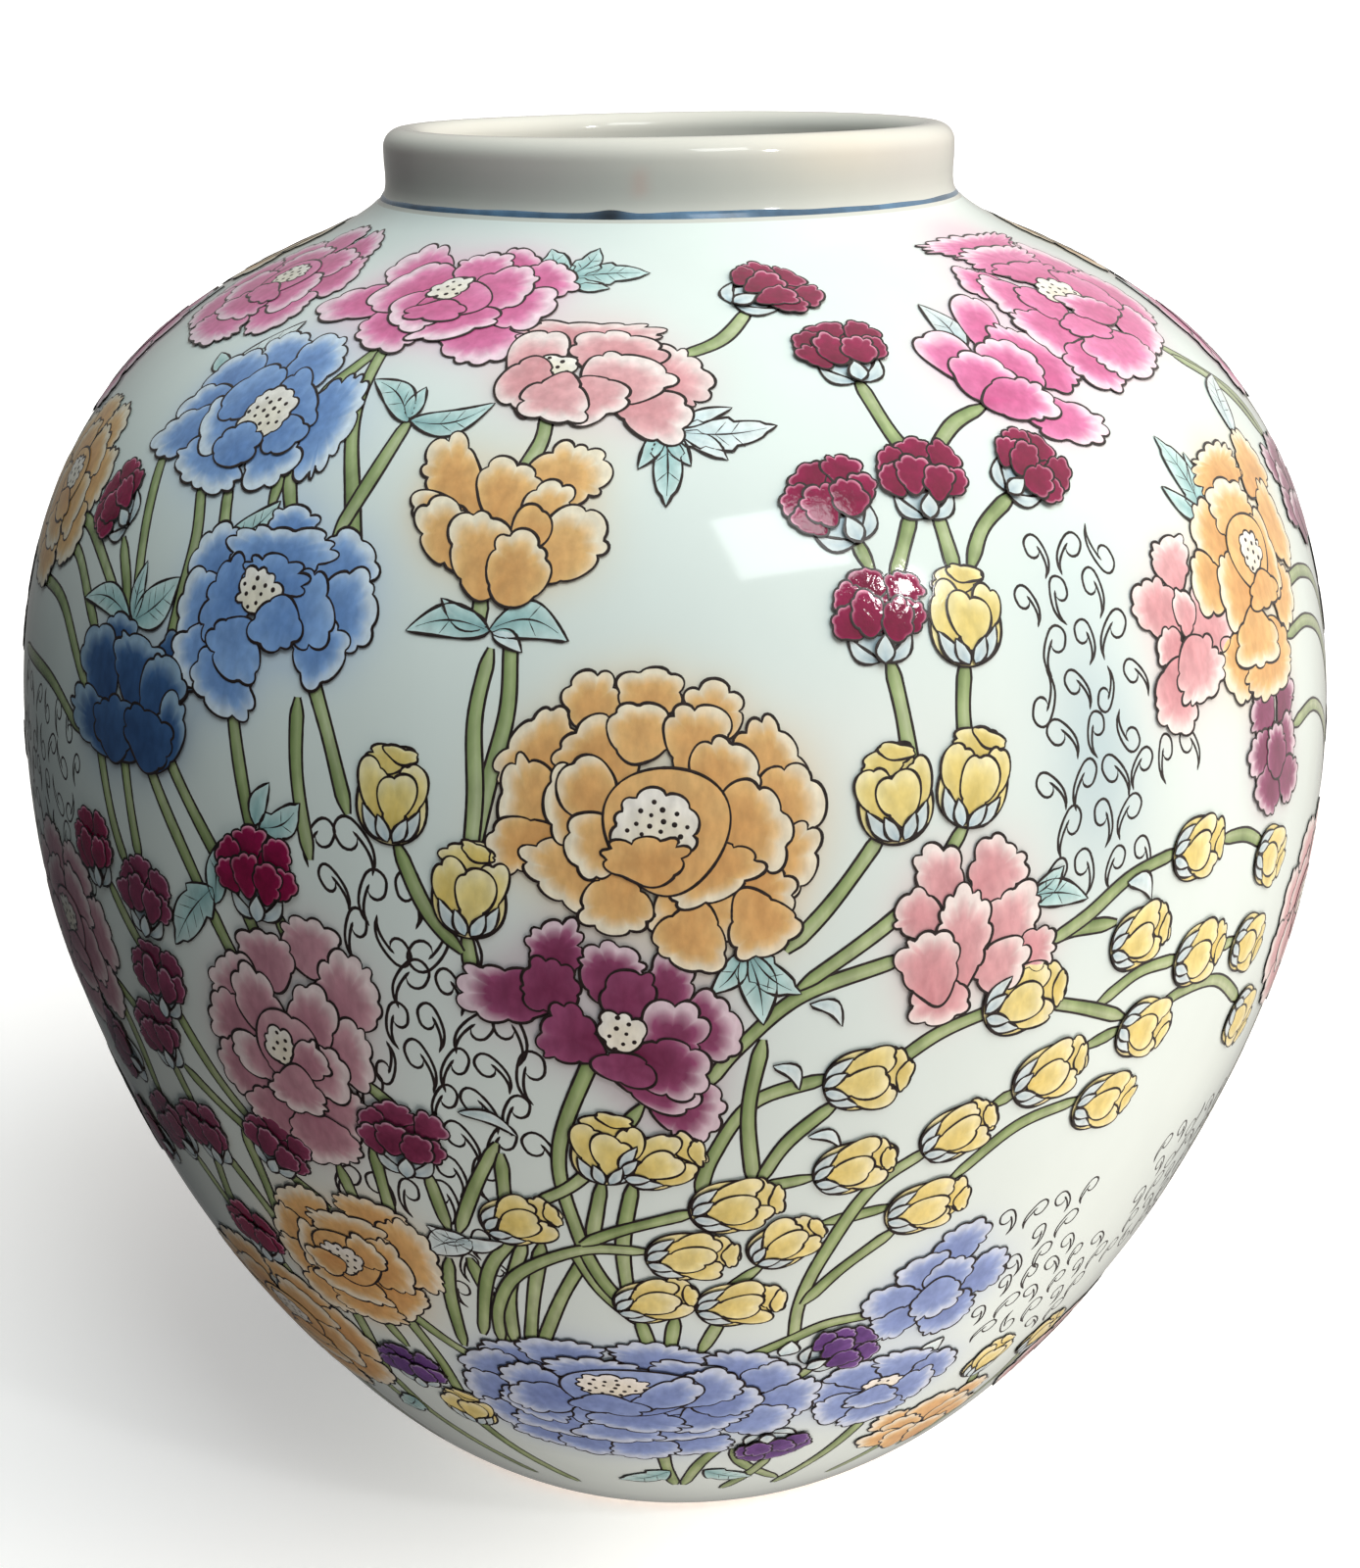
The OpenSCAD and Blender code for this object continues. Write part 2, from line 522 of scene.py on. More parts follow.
def petal_shape(width, height, lobes, root):
    """Outline of a petal round its middle: a scalloped tip towards +y and a plain foot."""
    m = max(30, int((width + height) * 1.6 / 0.42))
    angle = np.linspace(-math.pi, math.pi, m, endpoint=False)
    reach = math.radians(LOBED_REACH)
    scallop = np.ones(m)
    if lobes:
        count = max(2, round(lobes * LOBES_PER_COUNT))
        depth = min(0.28, LOBE_DEPTH / (min(width, height) / 2))
        bump = scallops((angle + reach) / (2 * reach), count)
        scallop = 1 - depth * (1 - np.where(np.abs(angle) < reach, bump, 0.4))
        wide, narrow = rng.uniform(0, 6, 2)
        scallop *= 1 + 0.06 * np.sin(2 * angle + wide) + 0.06 * np.sin(3 * angle + narrow)
    x = np.sin(angle) * width / 2 * (1 + 0.24 * np.cos(angle)) * scallop
    y = np.cos(angle) * height / 2 * scallop * np.where(np.cos(angle) < 0, root, 1)
    return angle, x, y


def petal_level(angle, ring, rim, edge_paleness):
    """How pale a petal is along one ring, with its pale edge at its tip or, as a painted highlight, all
    along its rim.
    """
    towards_tip = 0.5 + 0.5 * np.cos(angle)
    # A pale rim all round is a painted highlight along a glossy rim; only the carnations use it.
    if rim:
        edge = smooth((ring - 0.80) / 0.20) * (0.55 + 0.45 * towards_tip)
    else:
        edge = smooth((ring * (0.42 + 0.58 * towards_tip) - 0.34) / 0.58)
    return PETAL_DEPTH + 0.26 * ring * towards_tip + edge_paleness * 0.62 * edge


def petal(
    fill, line, chart, x, y, width, height, turn, lobes, enamel, lift,
    dome=0.012, pale=PALE_EDGE, width_line=LINE_WIDTH, root=1.0, rim=False,
):
    """One petal: a domed fill that fades from its base to its tip or its rim, and its brush line."""
    angle, px, py = petal_shape(width, height, lobes, root)
    ox, oy = turned(px, py, turn)
    fall = 5 if rim else 3
    points, colours = [], []
    shade = rng.uniform(-0.08, 0.08)
    streak = 0.05 * np.sin(angle * rng.integers(5, 9) + rng.uniform(0, 6))
    streak += 0.10 * np.sin(angle + rng.uniform(0, 6))
    for ring in PETAL_RINGS:
        points.append(chart.at(x + ox * ring, y + oy * ring, lift + dome * (1 - ring**fall)))
        colours.append(tone(enamel, petal_level(angle, ring, rim, pale) + shade + streak * ring))
    points.append(chart.at(np.array([x]), np.array([y]), lift + dome))
    colours.append(tone(enamel, np.array([PETAL_DEPTH + shade])))
    m, rings = len(angle), len(PETAL_RINGS)
    first = np.arange(m)
    tris = np.stack([np.full(m, rings * m), (first + 1) % m, first], -1)
    fill.add(np.vstack(points), np.vstack(colours), grid_quads(rings, m, True), tris)
    closed_line(line, chart, x + ox, y + oy, lift, width_line)


def dots(line, chart, x, y, width, height, count, lift):
    """The speckled heart of a flower: dots along a spiral that fills its middle."""
    t = np.linspace(0, 2 * math.pi, 10, endpoint=False)
    for k in range(count):
        spread = math.sqrt((k + 0.5) / count) * 0.72
        a = k * DOT_TURN
        px, py = x + spread * width / 2 * math.cos(a), y + spread * height / 2 * math.sin(a)
        size = rng.uniform(0.36, 0.5)
        rows = [
            chart.at(px + size * f * np.cos(t), py + size * f * np.sin(t), lift + rise)
            for f, rise in ((0.3, 0.03), (0.8, 0.024), (1.0, -0.02))
        ]
        centre = np.arange(1, 9)
        tris = np.stack([np.zeros(8, int), centre + 1, centre], -1)
        line.add(np.vstack(rows), INK, grid_quads(3, 10, True), tris)


# ---------------------------------------------------------------- flowers


def layer_numbers(shapes):
    """Each shape lies one layer above the earlier ones that it touches."""
    layers = []
    for k, (x, y, width, height) in enumerate(shapes):
        level = 0
        for j in range(k):
            ox, oy, ow, oh = shapes[j]
            apart = math.hypot(x - ox, y - oy)
            if apart < 0.26 * (width + height + ow + oh):
                level = max(level, layers[j] + 1)
        layers.append(level)
    return layers


def flower(name, enamel, chart, source, petals):
    """A flower from its petals, back to front, read in its source chart and laid on its own.

    Each petal is (turn, climb, width, height, tip direction, lobes). A petal with a seventh
    value is special: "heart" is the speckled middle, "deep" is a petal without a pale edge.
    """
    fill, line = Sheet(), Sheet()
    shapes = [(*source.local(*p[:2]), *p[2:4]) for p in petals]
    for p, (x, y, width, height), level in zip(petals, shapes, layer_numbers(shapes)):
        tip, lobes, kind = (*p[4:], "")[:3]
        lift = FLOWER_LIFT + LAYER * level
        if kind == "heart":
            petal(fill, line, chart, x, y, width, height, tip, lobes, "cream", lift)
            dots(line, chart, x, y, width, height, int(width * height / AREA_PER_DOT), lift)
        elif kind == "deep":
            petal(fill, line, chart, x, y, width, height, tip, lobes, enamel, lift, pale=DEEP_EDGE)
        else:
            size = width * PETAL_SPREAD, height * PETAL_SPREAD
            petal(fill, line, chart, x, y, *size, tip, lobes, enamel, lift, root=PETAL_ROOT)
    fill.piece(name + "_enamel", ENAMEL, SLOTS[enamel])
    line.piece(name + "_outline", LINE, "outline_black")


# A carnation's petals, back to front, as offsets from its middle when it stands upright. They
# are (x, y, width, height, tip direction, lobes), for a head of CARNATION_SIZE.
CARNATION_SIZE = 15.0
CARNATION = [
    (0, 1.2, 10.4, 10, 0, 3), (-1.4, 4.8, 7.8, 6.2, -8, 3), (4.4, 3.8, 7, 6.6, 44, 3),
    (-5, 2.2, 6.2, 6.4, -60, 3), (-5.2, -1.6, 5.6, 7.4, -28, 3), (5.2, -0.8, 5.4, 7.2, 36, 3),
    (-1.8, -0.4, 6.6, 8.8, -8, 3), (2.7, -1.2, 6.2, 8.2, 10, 3),
]
# Its pale cup, and the sepals round it: foot, tip, width, bend.
CARNATION_CUP_BASE = (0.1, -4.4, 7.8, 7, 180, 0)
CARNATION_CUP = [
    ((-0.4, -8), (-5.4, -3.8), 2.4, 0.3), ((0.8, -8), (5.2, -2.4), 2.4, -0.35),
    ((0.5, -8.2), (0.6, -3.6), 3.2, 0),
]
# A bud's shell and its yellow petals, back to front, for a bud of BUD_SIZE.
BUD_SIZE = 14.6
BUD_SHELL = (0, 0, 11.4, 15.4, 180, 0)
BUD = [
    (-0.2, 5, 8.8, 5.2, -6, 2), (1.2, 6, 6.2, 3.2, 16, 2), (-2.8, 0.2, 6, 10.4, -4, 1),
    (3.6, 0.4, 4.8, 10, 6, 1), (0.8, -1.2, 6.8, 10.4, 4, 1),
]
# The pale sepals that close over the bud's foot: foot, tip, width, bend.
BUD_CUP = [
    ((-0.8, -7.2), (-4.7, -2), 2.4, 0.16), ((0.8, -7.2), (4.8, -2.2), 2.4, -0.16),
    ((-0.4, -7.4), (-2.1, -3.4), 2.2, 0.05), ((0.5, -7.4), (2.7, -3.6), 2.2, -0.05),
]


class Head:
    """A carnation or a bud: places in its own millimetres, turned and sized onto the jar."""

    def __init__(self, chart, turn, scale):
        self.chart, self.turn, self.scale = chart, turn, scale

    def put(self, x, y):
        return turned(x * self.scale, y * self.scale, self.turn)

    def petal(self, fill, line, shape, enamel, lift, **look):
        x, y, width, height, tip, lobes = shape
        x, y = self.put(x * rng.uniform(0.93, 1.07), y + rng.uniform(-0.25, 0.25))
        size = width * self.scale, height * self.scale
        petal(fill, line, self.chart, x, y, *size, self.turn + tip, lobes, enamel, lift, **look)

    def sepals(self, fill, line, shapes, lift):
        for foot, tip, width, bend in shapes:
            ends = self.put(*foot), self.put(*tip)
            leaflet(fill, line, self.chart, *ends, width * self.scale, bend, "white", lift)
            lift += LAYER


def carnation(fill, cups, line, chart, turn, size, enamel):
    """A head of thick lobed petals in a pale cup, stem end down."""
    head = Head(chart, turn, size / CARNATION_SIZE)
    head.petal(cups, line, CARNATION_CUP_BASE, "white", FLOWER_LIFT - 0.06)
    head.sepals(cups, line, CARNATION_CUP[:2], FLOWER_LIFT - 0.03)
    lift = FLOWER_LIFT + 0.05
    for shape in CARNATION:
        # Their pale rims are painted highlights along the glossy enamel.
        head.petal(fill, line, shape, enamel, lift, dome=0.06, width_line=CARNATION_LINE, rim=True)
        lift += CARNATION_LAYER
    head.sepals(cups, line, CARNATION_CUP[2:], lift + 0.02)


def bud(fill, cups, line, chart, turn, size):
    """A yellow bud closed in a pale cup, tip up."""
    head = Head(chart, turn, size / BUD_SIZE)
    head.petal(fill, line, BUD_SHELL, "yellow", FLOWER_LIFT, pale=BUD_SHELL_EDGE)
    lift = FLOWER_LIFT + LAYER
    for shape in BUD:
        head.petal(fill, line, shape, "yellow", lift, dome=0.014, pale=BUD_EDGE, width_line=BUD_LINE)
        lift += LAYER
    head.sepals(cups, line, BUD_CUP, lift)


# ---------------------------------------------------------------- leaves and stems


def ribbon(fill, chart, x, y, normals, half, steps, lift, rise, colour_at):
    """A band along a path, domed across, coloured by a function of the place across it."""
    nx, ny = normals
    rows, colours = [], []
    for u in steps:
        rows.append(chart.at(x + nx * half * u, y + ny * half * u, lift + rise * (1 - u * u)))
        colours.append(colour_at(u))
    fill.add_rows(rows, np.vstack(colours), False)


def leaf_veins(line, chart, x, y, along, across, count, lift):
    """A vein up the middle of a leaf, and pairs of side veins that lean towards its tip."""
    open_line(line, chart, x[1:-2], y[1:-2], lift + 0.012, 0.34, 0.5)
    reach = np.linspace(0, 0.78, 6)
    for k in range(1, count + 1):
        i = int(len(x) * (0.15 + 0.6 * k / (count + 1)))
        for side in (-1, 1):
            vx = x[i] + along[0] * reach + across[0][i] * side * reach
            vy = y[i] + along[1] * reach + across[1][i] * side * reach
            open_line(line, chart, vx, vy, lift + 0.008, 0.26, 0.6)


def leaflet(fill, line, chart, start, tip, width, bend, enamel, lift, teeth=0, veins=0):
    """A pointed leaf from its foot to its tip, bent to one side, with optional teeth and veins."""
    (sx, sy), (ex, ey) = start, tip
    length = math.hypot(ex - sx, ey - sy)
    ux, uy = (ex - sx) / length, (ey - sy) / length
    nx, ny = uy, -ux
    t = np.linspace(0, 1, max(9, int(length / 0.7)))
    bow = bend * length * 0.5 * np.sin(math.pi * t) * -1
    x, y = sx + ux * length * t + nx * bow, sy + uy * length * t + ny * bow
    half = width / 2 * np.sin(math.pi * t**0.8) ** 0.85
    if teeth:
        half = half * (0.80 + 0.34 * ((t * teeth + 0.35) % 1.0))
    half = np.maximum(half, 0.02)

    def colour_at(u):
        return tone(enamel, 0.30 + 0.45 * t + 0.28 * abs(u) - 0.22 * (1 - abs(u)) * (1 - t))

    ribbon(fill, chart, x, y, (nx, ny), half, np.linspace(-1, 1, 7), lift, 0.012, colour_at)
    edge_x = np.r_[x - nx * half, (x + nx * half)[::-1][1:-1]]
    edge_y = np.r_[y - ny * half, (y + ny * half)[::-1][1:-1]]
    closed_line(line, chart, edge_x, edge_y, lift, LEAF_LINE)
    if veins:
        along = ux * length * 0.16, uy * length * 0.16
        leaf_veins(line, chart, x, y, along, (nx * half, ny * half), veins, lift)


def stem(fill, line, chart, points, width, lift):
    """A green stem along a curve, lighter along its middle, with a line down each side."""
    step = 0.9
    x, y = smooth_path(points, step).T
    normals = line_normals(np.gradient(x), np.gradient(y))
    n = len(x)
    along = np.linspace(0, 1, n)
    half = width / 2 * (1 + 0.06 * np.sin(along * 7 + rng.uniform(0, 6)))
    from_end = np.minimum(np.arange(n), np.arange(n)[::-1]) * step
    half *= np.clip(0.25 + from_end / STEM_TAPER, 0, 1) ** 0.7
    shade = 0.12 * np.sin(along * rng.uniform(5, 9) + rng.uniform(0, 6)) + rng.uniform(-0.08, 0.08)

    def colour_at(u):
        return tone("green", 0.72 - 0.42 * abs(u + 0.25) + shade)

    across = (-1, -0.6, -0.2, 0.2, 0.6, 1)
    ribbon(fill, chart, x, y, normals, half, across, lift, 0.015, colour_at)
    for u in (-1, 1):
        edge = x + normals[0] * half * u, y + normals[1] * half * u
        open_line(line, chart, *edge, lift + 0.004, STEM_LINE, 0)


# One comma of the scrollwork, ten units tall: round its head from the notch to the tip of the
# tail, and back up the inside of the tail to the notch.
COMMA_HEAD = [
    (0.7, 1.4), (0.3, 0.2), (-0.8, -0.4), (-2.1, 0.2), (-2.8, 1.8), (-2.9, 3.2), (-2.2, 4.4), (-1, 5),
    (0.4, 4.4), (1.8, 2.2), (2.6, -0.1), (2.7, -1.7), (2.3, -3.6), (1.5, -5),
]
COMMA_TAIL = [
    (1.5, -5), (2, -3.6), (2, -2), (1.6, -0.4), (0.9, 1.2), (0.2, 2.4),
]


def scroll(line, chart, size, turn, way, lift, width):
    """One comma of the scrollwork: a round head, a notch and a long pointed tail."""
    stretch = rng.uniform(0.85, 1.12)
    for points in (COMMA_HEAD, COMMA_TAIL):
        path = smooth_path(points, 0.55) * (way * stretch, 1) * size / 10
        open_line(line, chart, *turned(*path.T, turn), lift, width, 0.08)


# ---------------------------------------------------------------- the painting
# Each flower: name, enamel, its middle, and its petals from back to front as
# (turn, climb, width, height, tip direction, lobes[, kind]).

FLOWERS = [
    ("top_peony", "pink", (-29, 272), [
        (-36.9, 280.4, 11, 17, -62, 4), (-22.5, 283.6, 9, 10, 15, 3), (-16.6, 279.5, 11, 10, 62, 4),
        (-40, 270, 10, 14, -100, 3), (-20.2, 263.8, 12, 12, 140, 5), (-18.4, 272, 11, 12, 100, 3),
        (-32, 264.6, 12, 10, 195, 4), (-34, 275.6, 13, 15, -75, 3), (-27, 282, 11, 9, 5, 4),
        (-21.6, 276.6, 12, 11, 60, 4), (-24.6, 267, 13, 8, 160, 3), (-30.5, 269.5, 11, 10, 200, 2),
        (-27.4, 272.6, 13, 13, 40, 1, "deep"), (-28.8, 275.4, 8, 7, -20, 3, "heart"),
        (-28, 269.6, 11, 6.5, 175, 2, "deep"),
    ]),
    ("shoulder_peony", "rose", (-8, 255.5), [
        (-9, 264, 22, 8.5, 0, 6), (-13.2, 258, 9, 16, -5, 1), (-0.6, 254.6, 13, 12, 60, 5),
        (-1.4, 247.6, 8, 11, 115, 2), (-5.5, 261, 16, 8, 10, 3), (-4.4, 254.6, 12, 11, 35, 3),
        (-11.4, 257, 9, 6, 0, 3, "heart"), (-13.4, 253.4, 8, 10, 190, 1), (-6.6, 250.6, 9, 8, 150, 2),
        (-10.2, 250.2, 9, 9, 185, 3),
    ]),
    ("upper_blue_peony", "blue", (-40, 243), [
        (-43.6, 255.6, 10, 11, -20, 3), (-38, 254.4, 12, 12, 15, 4), (-47.6, 248.9, 11, 12, -65, 3),
        (-31.8, 243.2, 18, 10, 88, 6), (-47.8, 242.8, 9, 12, -95, 3), (-48, 237.4, 9, 15, -108, 4),
        (-35.8, 236.4, 10, 10, 145, 3), (-42.4, 233.6, 14, 10, 188, 5), (-43.4, 241, 11, 12, -120, 3),
        (-42.6, 246.6, 13, 12, -45, 2, "deep"), (-36.8, 246, 14, 11, 45, 3, "deep"),
        (-35.8, 240.5, 9, 9, 110, 2, "deep"), (-39, 243, 11, 12, 0, 5, "heart"),
        (-40.3, 236.8, 10, 9.5, 5, 3, "deep"),
    ]),
    ("left_blue_peony", "blue", (-31.5, 212.5), [
        (-30.5, 225.6, 10, 7, 0, 3), (-24.8, 221, 10, 10, 45, 3), (-37, 218.6, 11, 11, -55, 3),
        (-24.2, 214.2, 11, 11, 85, 4), (-37.5, 211.5, 11, 10, -90, 3), (-25.8, 208.4, 9, 10, 125, 3),
        (-36.6, 204.6, 9, 11, -125, 3), (-33.8, 201.6, 13, 10, 190, 4), (-31.3, 221.2, 19, 9, 0, 5),
        (-34.6, 213.4, 13, 11, -80, 4, "deep"), (-33, 206.8, 13, 10, 200, 3, "deep"),
        (-27.4, 213.6, 12, 11, 75, 3, "deep"), (-31, 217.4, 13, 8, 0, 4, "deep"),
        (-32, 215, 9, 8, 0, 4, "heart"), (-29.6, 211.4, 10, 9.5, 200, 3, "deep"),
    ]),
    ("dark_cup_peony", "navy", (-45, 195), [
        (-46.2, 203, 9, 8, -10, 3), (-38.9, 201.4, 10, 10, 45, 4), (-48.6, 198, 11, 12, -40, 3),
        (-43.4, 199.4, 15, 9, 5, 4), (-40.2, 196.6, 10, 12, 30, 3), (-48.2, 188, 9, 18, -80, 4),
        (-38.9, 191, 7, 12, 15, 2), (-45.4, 188.4, 13, 12, 0, 4, "deep"),
        (-41.2, 188.8, 13, 11.5, 15, 4, "deep"),
    ]),
    ("tulip_peony", "orange", (-12.8, 229), [
        (-17.4, 236.6, 8.5, 13, -45, 3), (-8.2, 236.8, 9.5, 13, 55, 4), (-12.8, 234, 9, 11, 0, 2),
        (-18.4, 231, 4.5, 9, -75, 1), (-9.5, 231.8, 7, 9, 15, 2), (-17, 227.4, 7.5, 12, -35, 2),
        (-7.9, 226.2, 10, 12, 42, 3), (-10.6, 228, 7, 9, 15, 1, "deep"), (-14, 224.8, 9.5, 11.5, -8, 3),
        (-11.2, 222.6, 8.5, 10, 10, 3),
    ]),
    ("great_peony", "orange", (-1, 187), [
        (-5.3, 203.6, 8, 9, -15, 3), (-1.6, 205, 9, 8, 0, 3), (2.6, 202.2, 9, 8, 20, 3),
        (6.3, 195.2, 12, 9, 58, 4), (7.2, 188.4, 12, 10, 88, 3), (6.8, 181, 11, 10, 110, 4),
        (-8.8, 196.4, 12, 10, -52, 4), (-9.2, 188.8, 13, 10, -92, 4), (-10.2, 183.4, 8, 9.5, -112, 2),
        (-6.8, 179.6, 12, 10, -140, 4), (-3.8, 174.8, 9, 9, -168, 3), (5.4, 176.6, 9, 9, 128, 3),
        (1.4, 174.2, 13, 10, 178, 4), (1.1, 169.4, 9.5, 9.5, 190, 3), (5.6, 171.4, 10, 9, 150, 3),
        (-4.8, 197, 12, 9, -25, 4), (-2.2, 200, 9, 8, 0, 2), (1.5, 198.4, 9, 10, 15, 2),
        (3.4, 193.6, 10, 9, 45, 3), (-6.4, 189.2, 12, 9, -85, 3), (-5.6, 191.6, 8, 9, -50, 1),
        (4.8, 185.6, 14, 10, 88, 3), (-4.9, 183.8, 9, 9, -120, 2), (2.4, 179.4, 13, 8, 160, 3),
        (-0.5, 185.6, 17.5, 18.5, 0, 0, "deep"), (-1.2, 185.8, 12.5, 12.5, 0, 4, "heart"),
        (-1.8, 181.2, 12, 8.5, 0, 4, "deep"),
    ]),
    ("right_cup_peony", "pink", (34, 252), [
        (35.4, 262.6, 8, 17, 22, 1), (38.6, 253.6, 15, 11, 62, 6), (28.8, 255.6, 9, 13, -12, 1),
        (34.4, 252.6, 12, 11, 40, 4), (30.8, 251.2, 11, 9, 50, 3), (37, 240.6, 8, 13, 118, 4),
        (33.2, 245.8, 8, 12, 100, 4),
    ]),
    ("right_top_peony", "pink", (54, 266), [
        (54, 282.8, 32, 8, 0, 9), (43.2, 272.2, 10, 10, -55, 4), (64.5, 273, 14, 14, 50, 5),
        (66.5, 262.3, 15, 13, 90, 5), (54, 278, 25, 9, 0, 7), (44.8, 267.6, 11, 11, -65, 4),
        (44.2, 258, 12, 11, -98, 5), (45.8, 250, 10, 10, -140, 4), (61, 254.5, 14, 10, 140, 5),
        (52, 250.8, 16, 10, 180, 5), (55.4, 272.6, 22, 9, 3, 4, "deep"),
        (48.8, 265, 11, 10, -80, 3, "deep"), (61, 265.4, 14, 12, 88, 3, "deep"),
        (50.6, 258.2, 12, 7, 195, 2, "deep"), (54.2, 266.2, 13, 9, 0, 4, "heart"),
        (56, 261.2, 13, 7.5, 10, 4),
    ]),
    ("right_orange_peony", "orange", (53, 208), [
        (53.4, 226.4, 18, 8, 0, 6), (60.6, 224.4, 11, 12, 60, 5), (59.8, 213.6, 13, 11, 90, 5),
        (47.8, 216.8, 11, 10, -60, 4), (45.2, 210, 10, 9, -88, 3), (47.2, 196.2, 11, 10, -120, 4),
        (57.2, 203, 11, 9, 115, 4), (52.4, 193.8, 16, 11, 178, 6), (52.4, 219.6, 16, 9, 0, 4),
        (48.8, 206.8, 13, 10, -90, 4), (55.6, 210, 14, 9, 88, 3), (50.6, 198.4, 13, 9, 190, 3),
        (52.8, 212, 14, 13, 0, 0, "deep"), (53, 211.8, 8.5, 8, 0, 4, "heart"),
        (53.4, 205.6, 12, 7.5, 185, 3, "deep"),
    ]),
    ("right_half_peony", "rose", (41.5, 203), [
        (41.4, 215.4, 9, 8, 5, 4), (38.3, 209, 9, 10, -50, 4), (43.8, 203.8, 11, 13, 62, 4),
        (38.8, 202.6, 6, 6, -60, 3), (41.4, 207.4, 5, 7, 10, 2), (38.8, 194.8, 10, 10, 200, 4),
        (41.8, 197.8, 12, 9, 150, 5),
    ]),
    ("right_magenta_cluster", "magenta", (52, 180), [
        (49.8, 187, 8, 8, -40, 4), (54, 187.2, 8, 8, 40, 4), (49.4, 180, 8, 9, -80, 4),
        (53.6, 180, 8, 9, 80, 4), (50.4, 173.6, 9, 9, -130, 4), (54, 173, 8, 9, 130, 4),
        (51.7, 179.4, 7, 9, 0, 4),
    ]),
    ("magenta_poppy", "magenta", (-4.5, 155), [
        (-7.8, 167.4, 7.5, 10, -10, 4), (-11.4, 160, 9, 14, -84, 4), (-4.2, 164.4, 9, 9, 5, 4),
        (-0.6, 162.6, 7, 11, 22, 3), (1.6, 155.2, 11, 11, 80, 4), (-8.2, 161.6, 9, 11, -28, 4, "deep"),
        (-3.2, 160, 8, 12, 15, 2, "deep"), (0.4, 141.8, 10, 13, 125, 4), (-0.4, 153.6, 9, 12, 20, 3),
        (-1.2, 144.6, 6, 13, 112, 1), (-6.9, 153.4, 10, 12, -60, 4, "deep"), (-0.4, 148.4, 9, 12, 120, 3),
        (-3.6, 154.6, 7, 8.5, -30, 3, "heart"), (-3.5, 148.8, 10, 7, 195, 1, "deep"),
    ]),
    ("centre_cup_peony", "rose", (19.5, 166), [
        (17.8, 175.8, 7, 11, -15, 3), (21.8, 175.6, 9, 10, 35, 4), (22.8, 167.4, 9, 12, 65, 4),
        (16.3, 170.4, 7, 9, -55, 3), (25, 162, 6.5, 8, 95, 4), (22.3, 160.4, 8, 10, 105, 2),
        (19.3, 166, 8.5, 15, 0, 5), (17.8, 156.4, 9, 8, 182, 3), (17.1, 162.6, 9, 11, -5, 4),
    ]),
    ("left_mauve_peony", "mauve", (-28.5, 144), [
        (-25.6, 163, 10, 9, 15, 4), (-29.5, 159.4, 10, 9, -20, 4), (-23.2, 155.4, 11, 14, 42, 5),
        (-32.4, 152.8, 10, 12, -42, 4), (-33.4, 145.2, 11, 11, -82, 4), (-33.5, 136.6, 11, 10, -112, 4),
        (-23.6, 145.6, 11, 10, 82, 4), (-25, 134.2, 11, 11, 120, 4), (-31, 129.4, 11, 10, -155, 4),
        (-27, 126.8, 13, 10, 172, 6), (-30.6, 150.4, 9, 13, -25, 3), (-26.2, 150, 9, 12, 25, 3),
        (-31.4, 140.4, 9, 11, -95, 3), (-25.9, 141, 10, 10, 85, 3), (-28.7, 143.8, 12.5, 15, 0, 1, "deep"),
        (-29.1, 143.6, 6.5, 9, -20, 3, "heart"), (-26.7, 142.6, 6, 8, 60, 3), (-28.4, 135.8, 11, 8, 188, 4),
    ]),
    ("lower_orange_peony", "orange", (-28.5, 97), [
        (-24.5, 110.8, 13, 9, 10, 6), (-31.4, 107.8, 12, 10, -35, 5), (-21.9, 103.6, 16, 10, 75, 6),
        (-34.2, 99.6, 13, 9, -80, 4), (-34.2, 92, 11, 9, -110, 4), (-32.9, 85.2, 11, 10, -148, 4),
        (-24.4, 89.6, 12, 9, 130, 5), (-28.4, 84.8, 14, 9, 172, 5), (-27.4, 105.4, 15, 9, 0, 5),
        (-24.7, 98.8, 14, 9, 85, 4), (-32, 97.6, 13, 8, -80, 3), (-29.4, 90.6, 15, 9, 185, 4),
        (-28.6, 97.6, 13.5, 13.5, 0, 0, "deep"), (-26.3, 101, 8, 7, 35, 3),
        (-29, 97.2, 8.5, 9.5, 0, 4, "heart"), (-31.2, 95, 6.5, 8, -100, 2),
    ]),
    ("foot_peony", "periwinkle", (-4.5, 66), [
        (-14.4, 80.6, 12, 9, -20, 5), (-10.4, 82.6, 13, 9, -4, 6), (-2, 82.6, 14, 9, 0, 7),
        (5.4, 79.2, 12, 9, 28, 5), (8, 75, 10, 9, 55, 4), (-17.4, 75.4, 12, 9, -50, 4),
        (10, 66.8, 13, 10, 92, 5), (-18.3, 65.8, 13, 10, -92, 4), (7.6, 59.4, 12, 11, 120, 5),
        (-16.4, 57.4, 13, 11, -130, 5), (-14.2, 51.4, 12, 9, -165, 5), (1.6, 50.4, 13, 9, 170, 5),
        (-9.4, 49.4, 13, 10, -176, 5), (-4, 48.8, 13, 10, 180, 5), (-5.4, 62.6, 32, 13, 180, 3),
        (-13, 57.4, 14, 9, -168, 4), (0, 57.6, 14, 9, 168, 4), (-6.5, 56, 15, 9, 180, 4),
        (-14.2, 63.8, 13, 9, -150, 5), (2.6, 62.4, 13, 9, 158, 5), (-13.4, 72.6, 10, 12, -40, 5),
        (-4.2, 61, 16, 8, 180, 4), (-13.2, 67.2, 10, 12, -105, 4), (4.4, 68.6, 11, 10, 85, 4),
        (-7.8, 78.8, 15, 7, -3, 5), (0.6, 78.6, 12, 7, 15, 4), (2, 73.2, 11, 12, 45, 5),
        (-4.6, 71.6, 23, 16, 0, 0, "deep"), (-6.4, 73.6, 12.5, 8.5, 0, 5, "heart"),
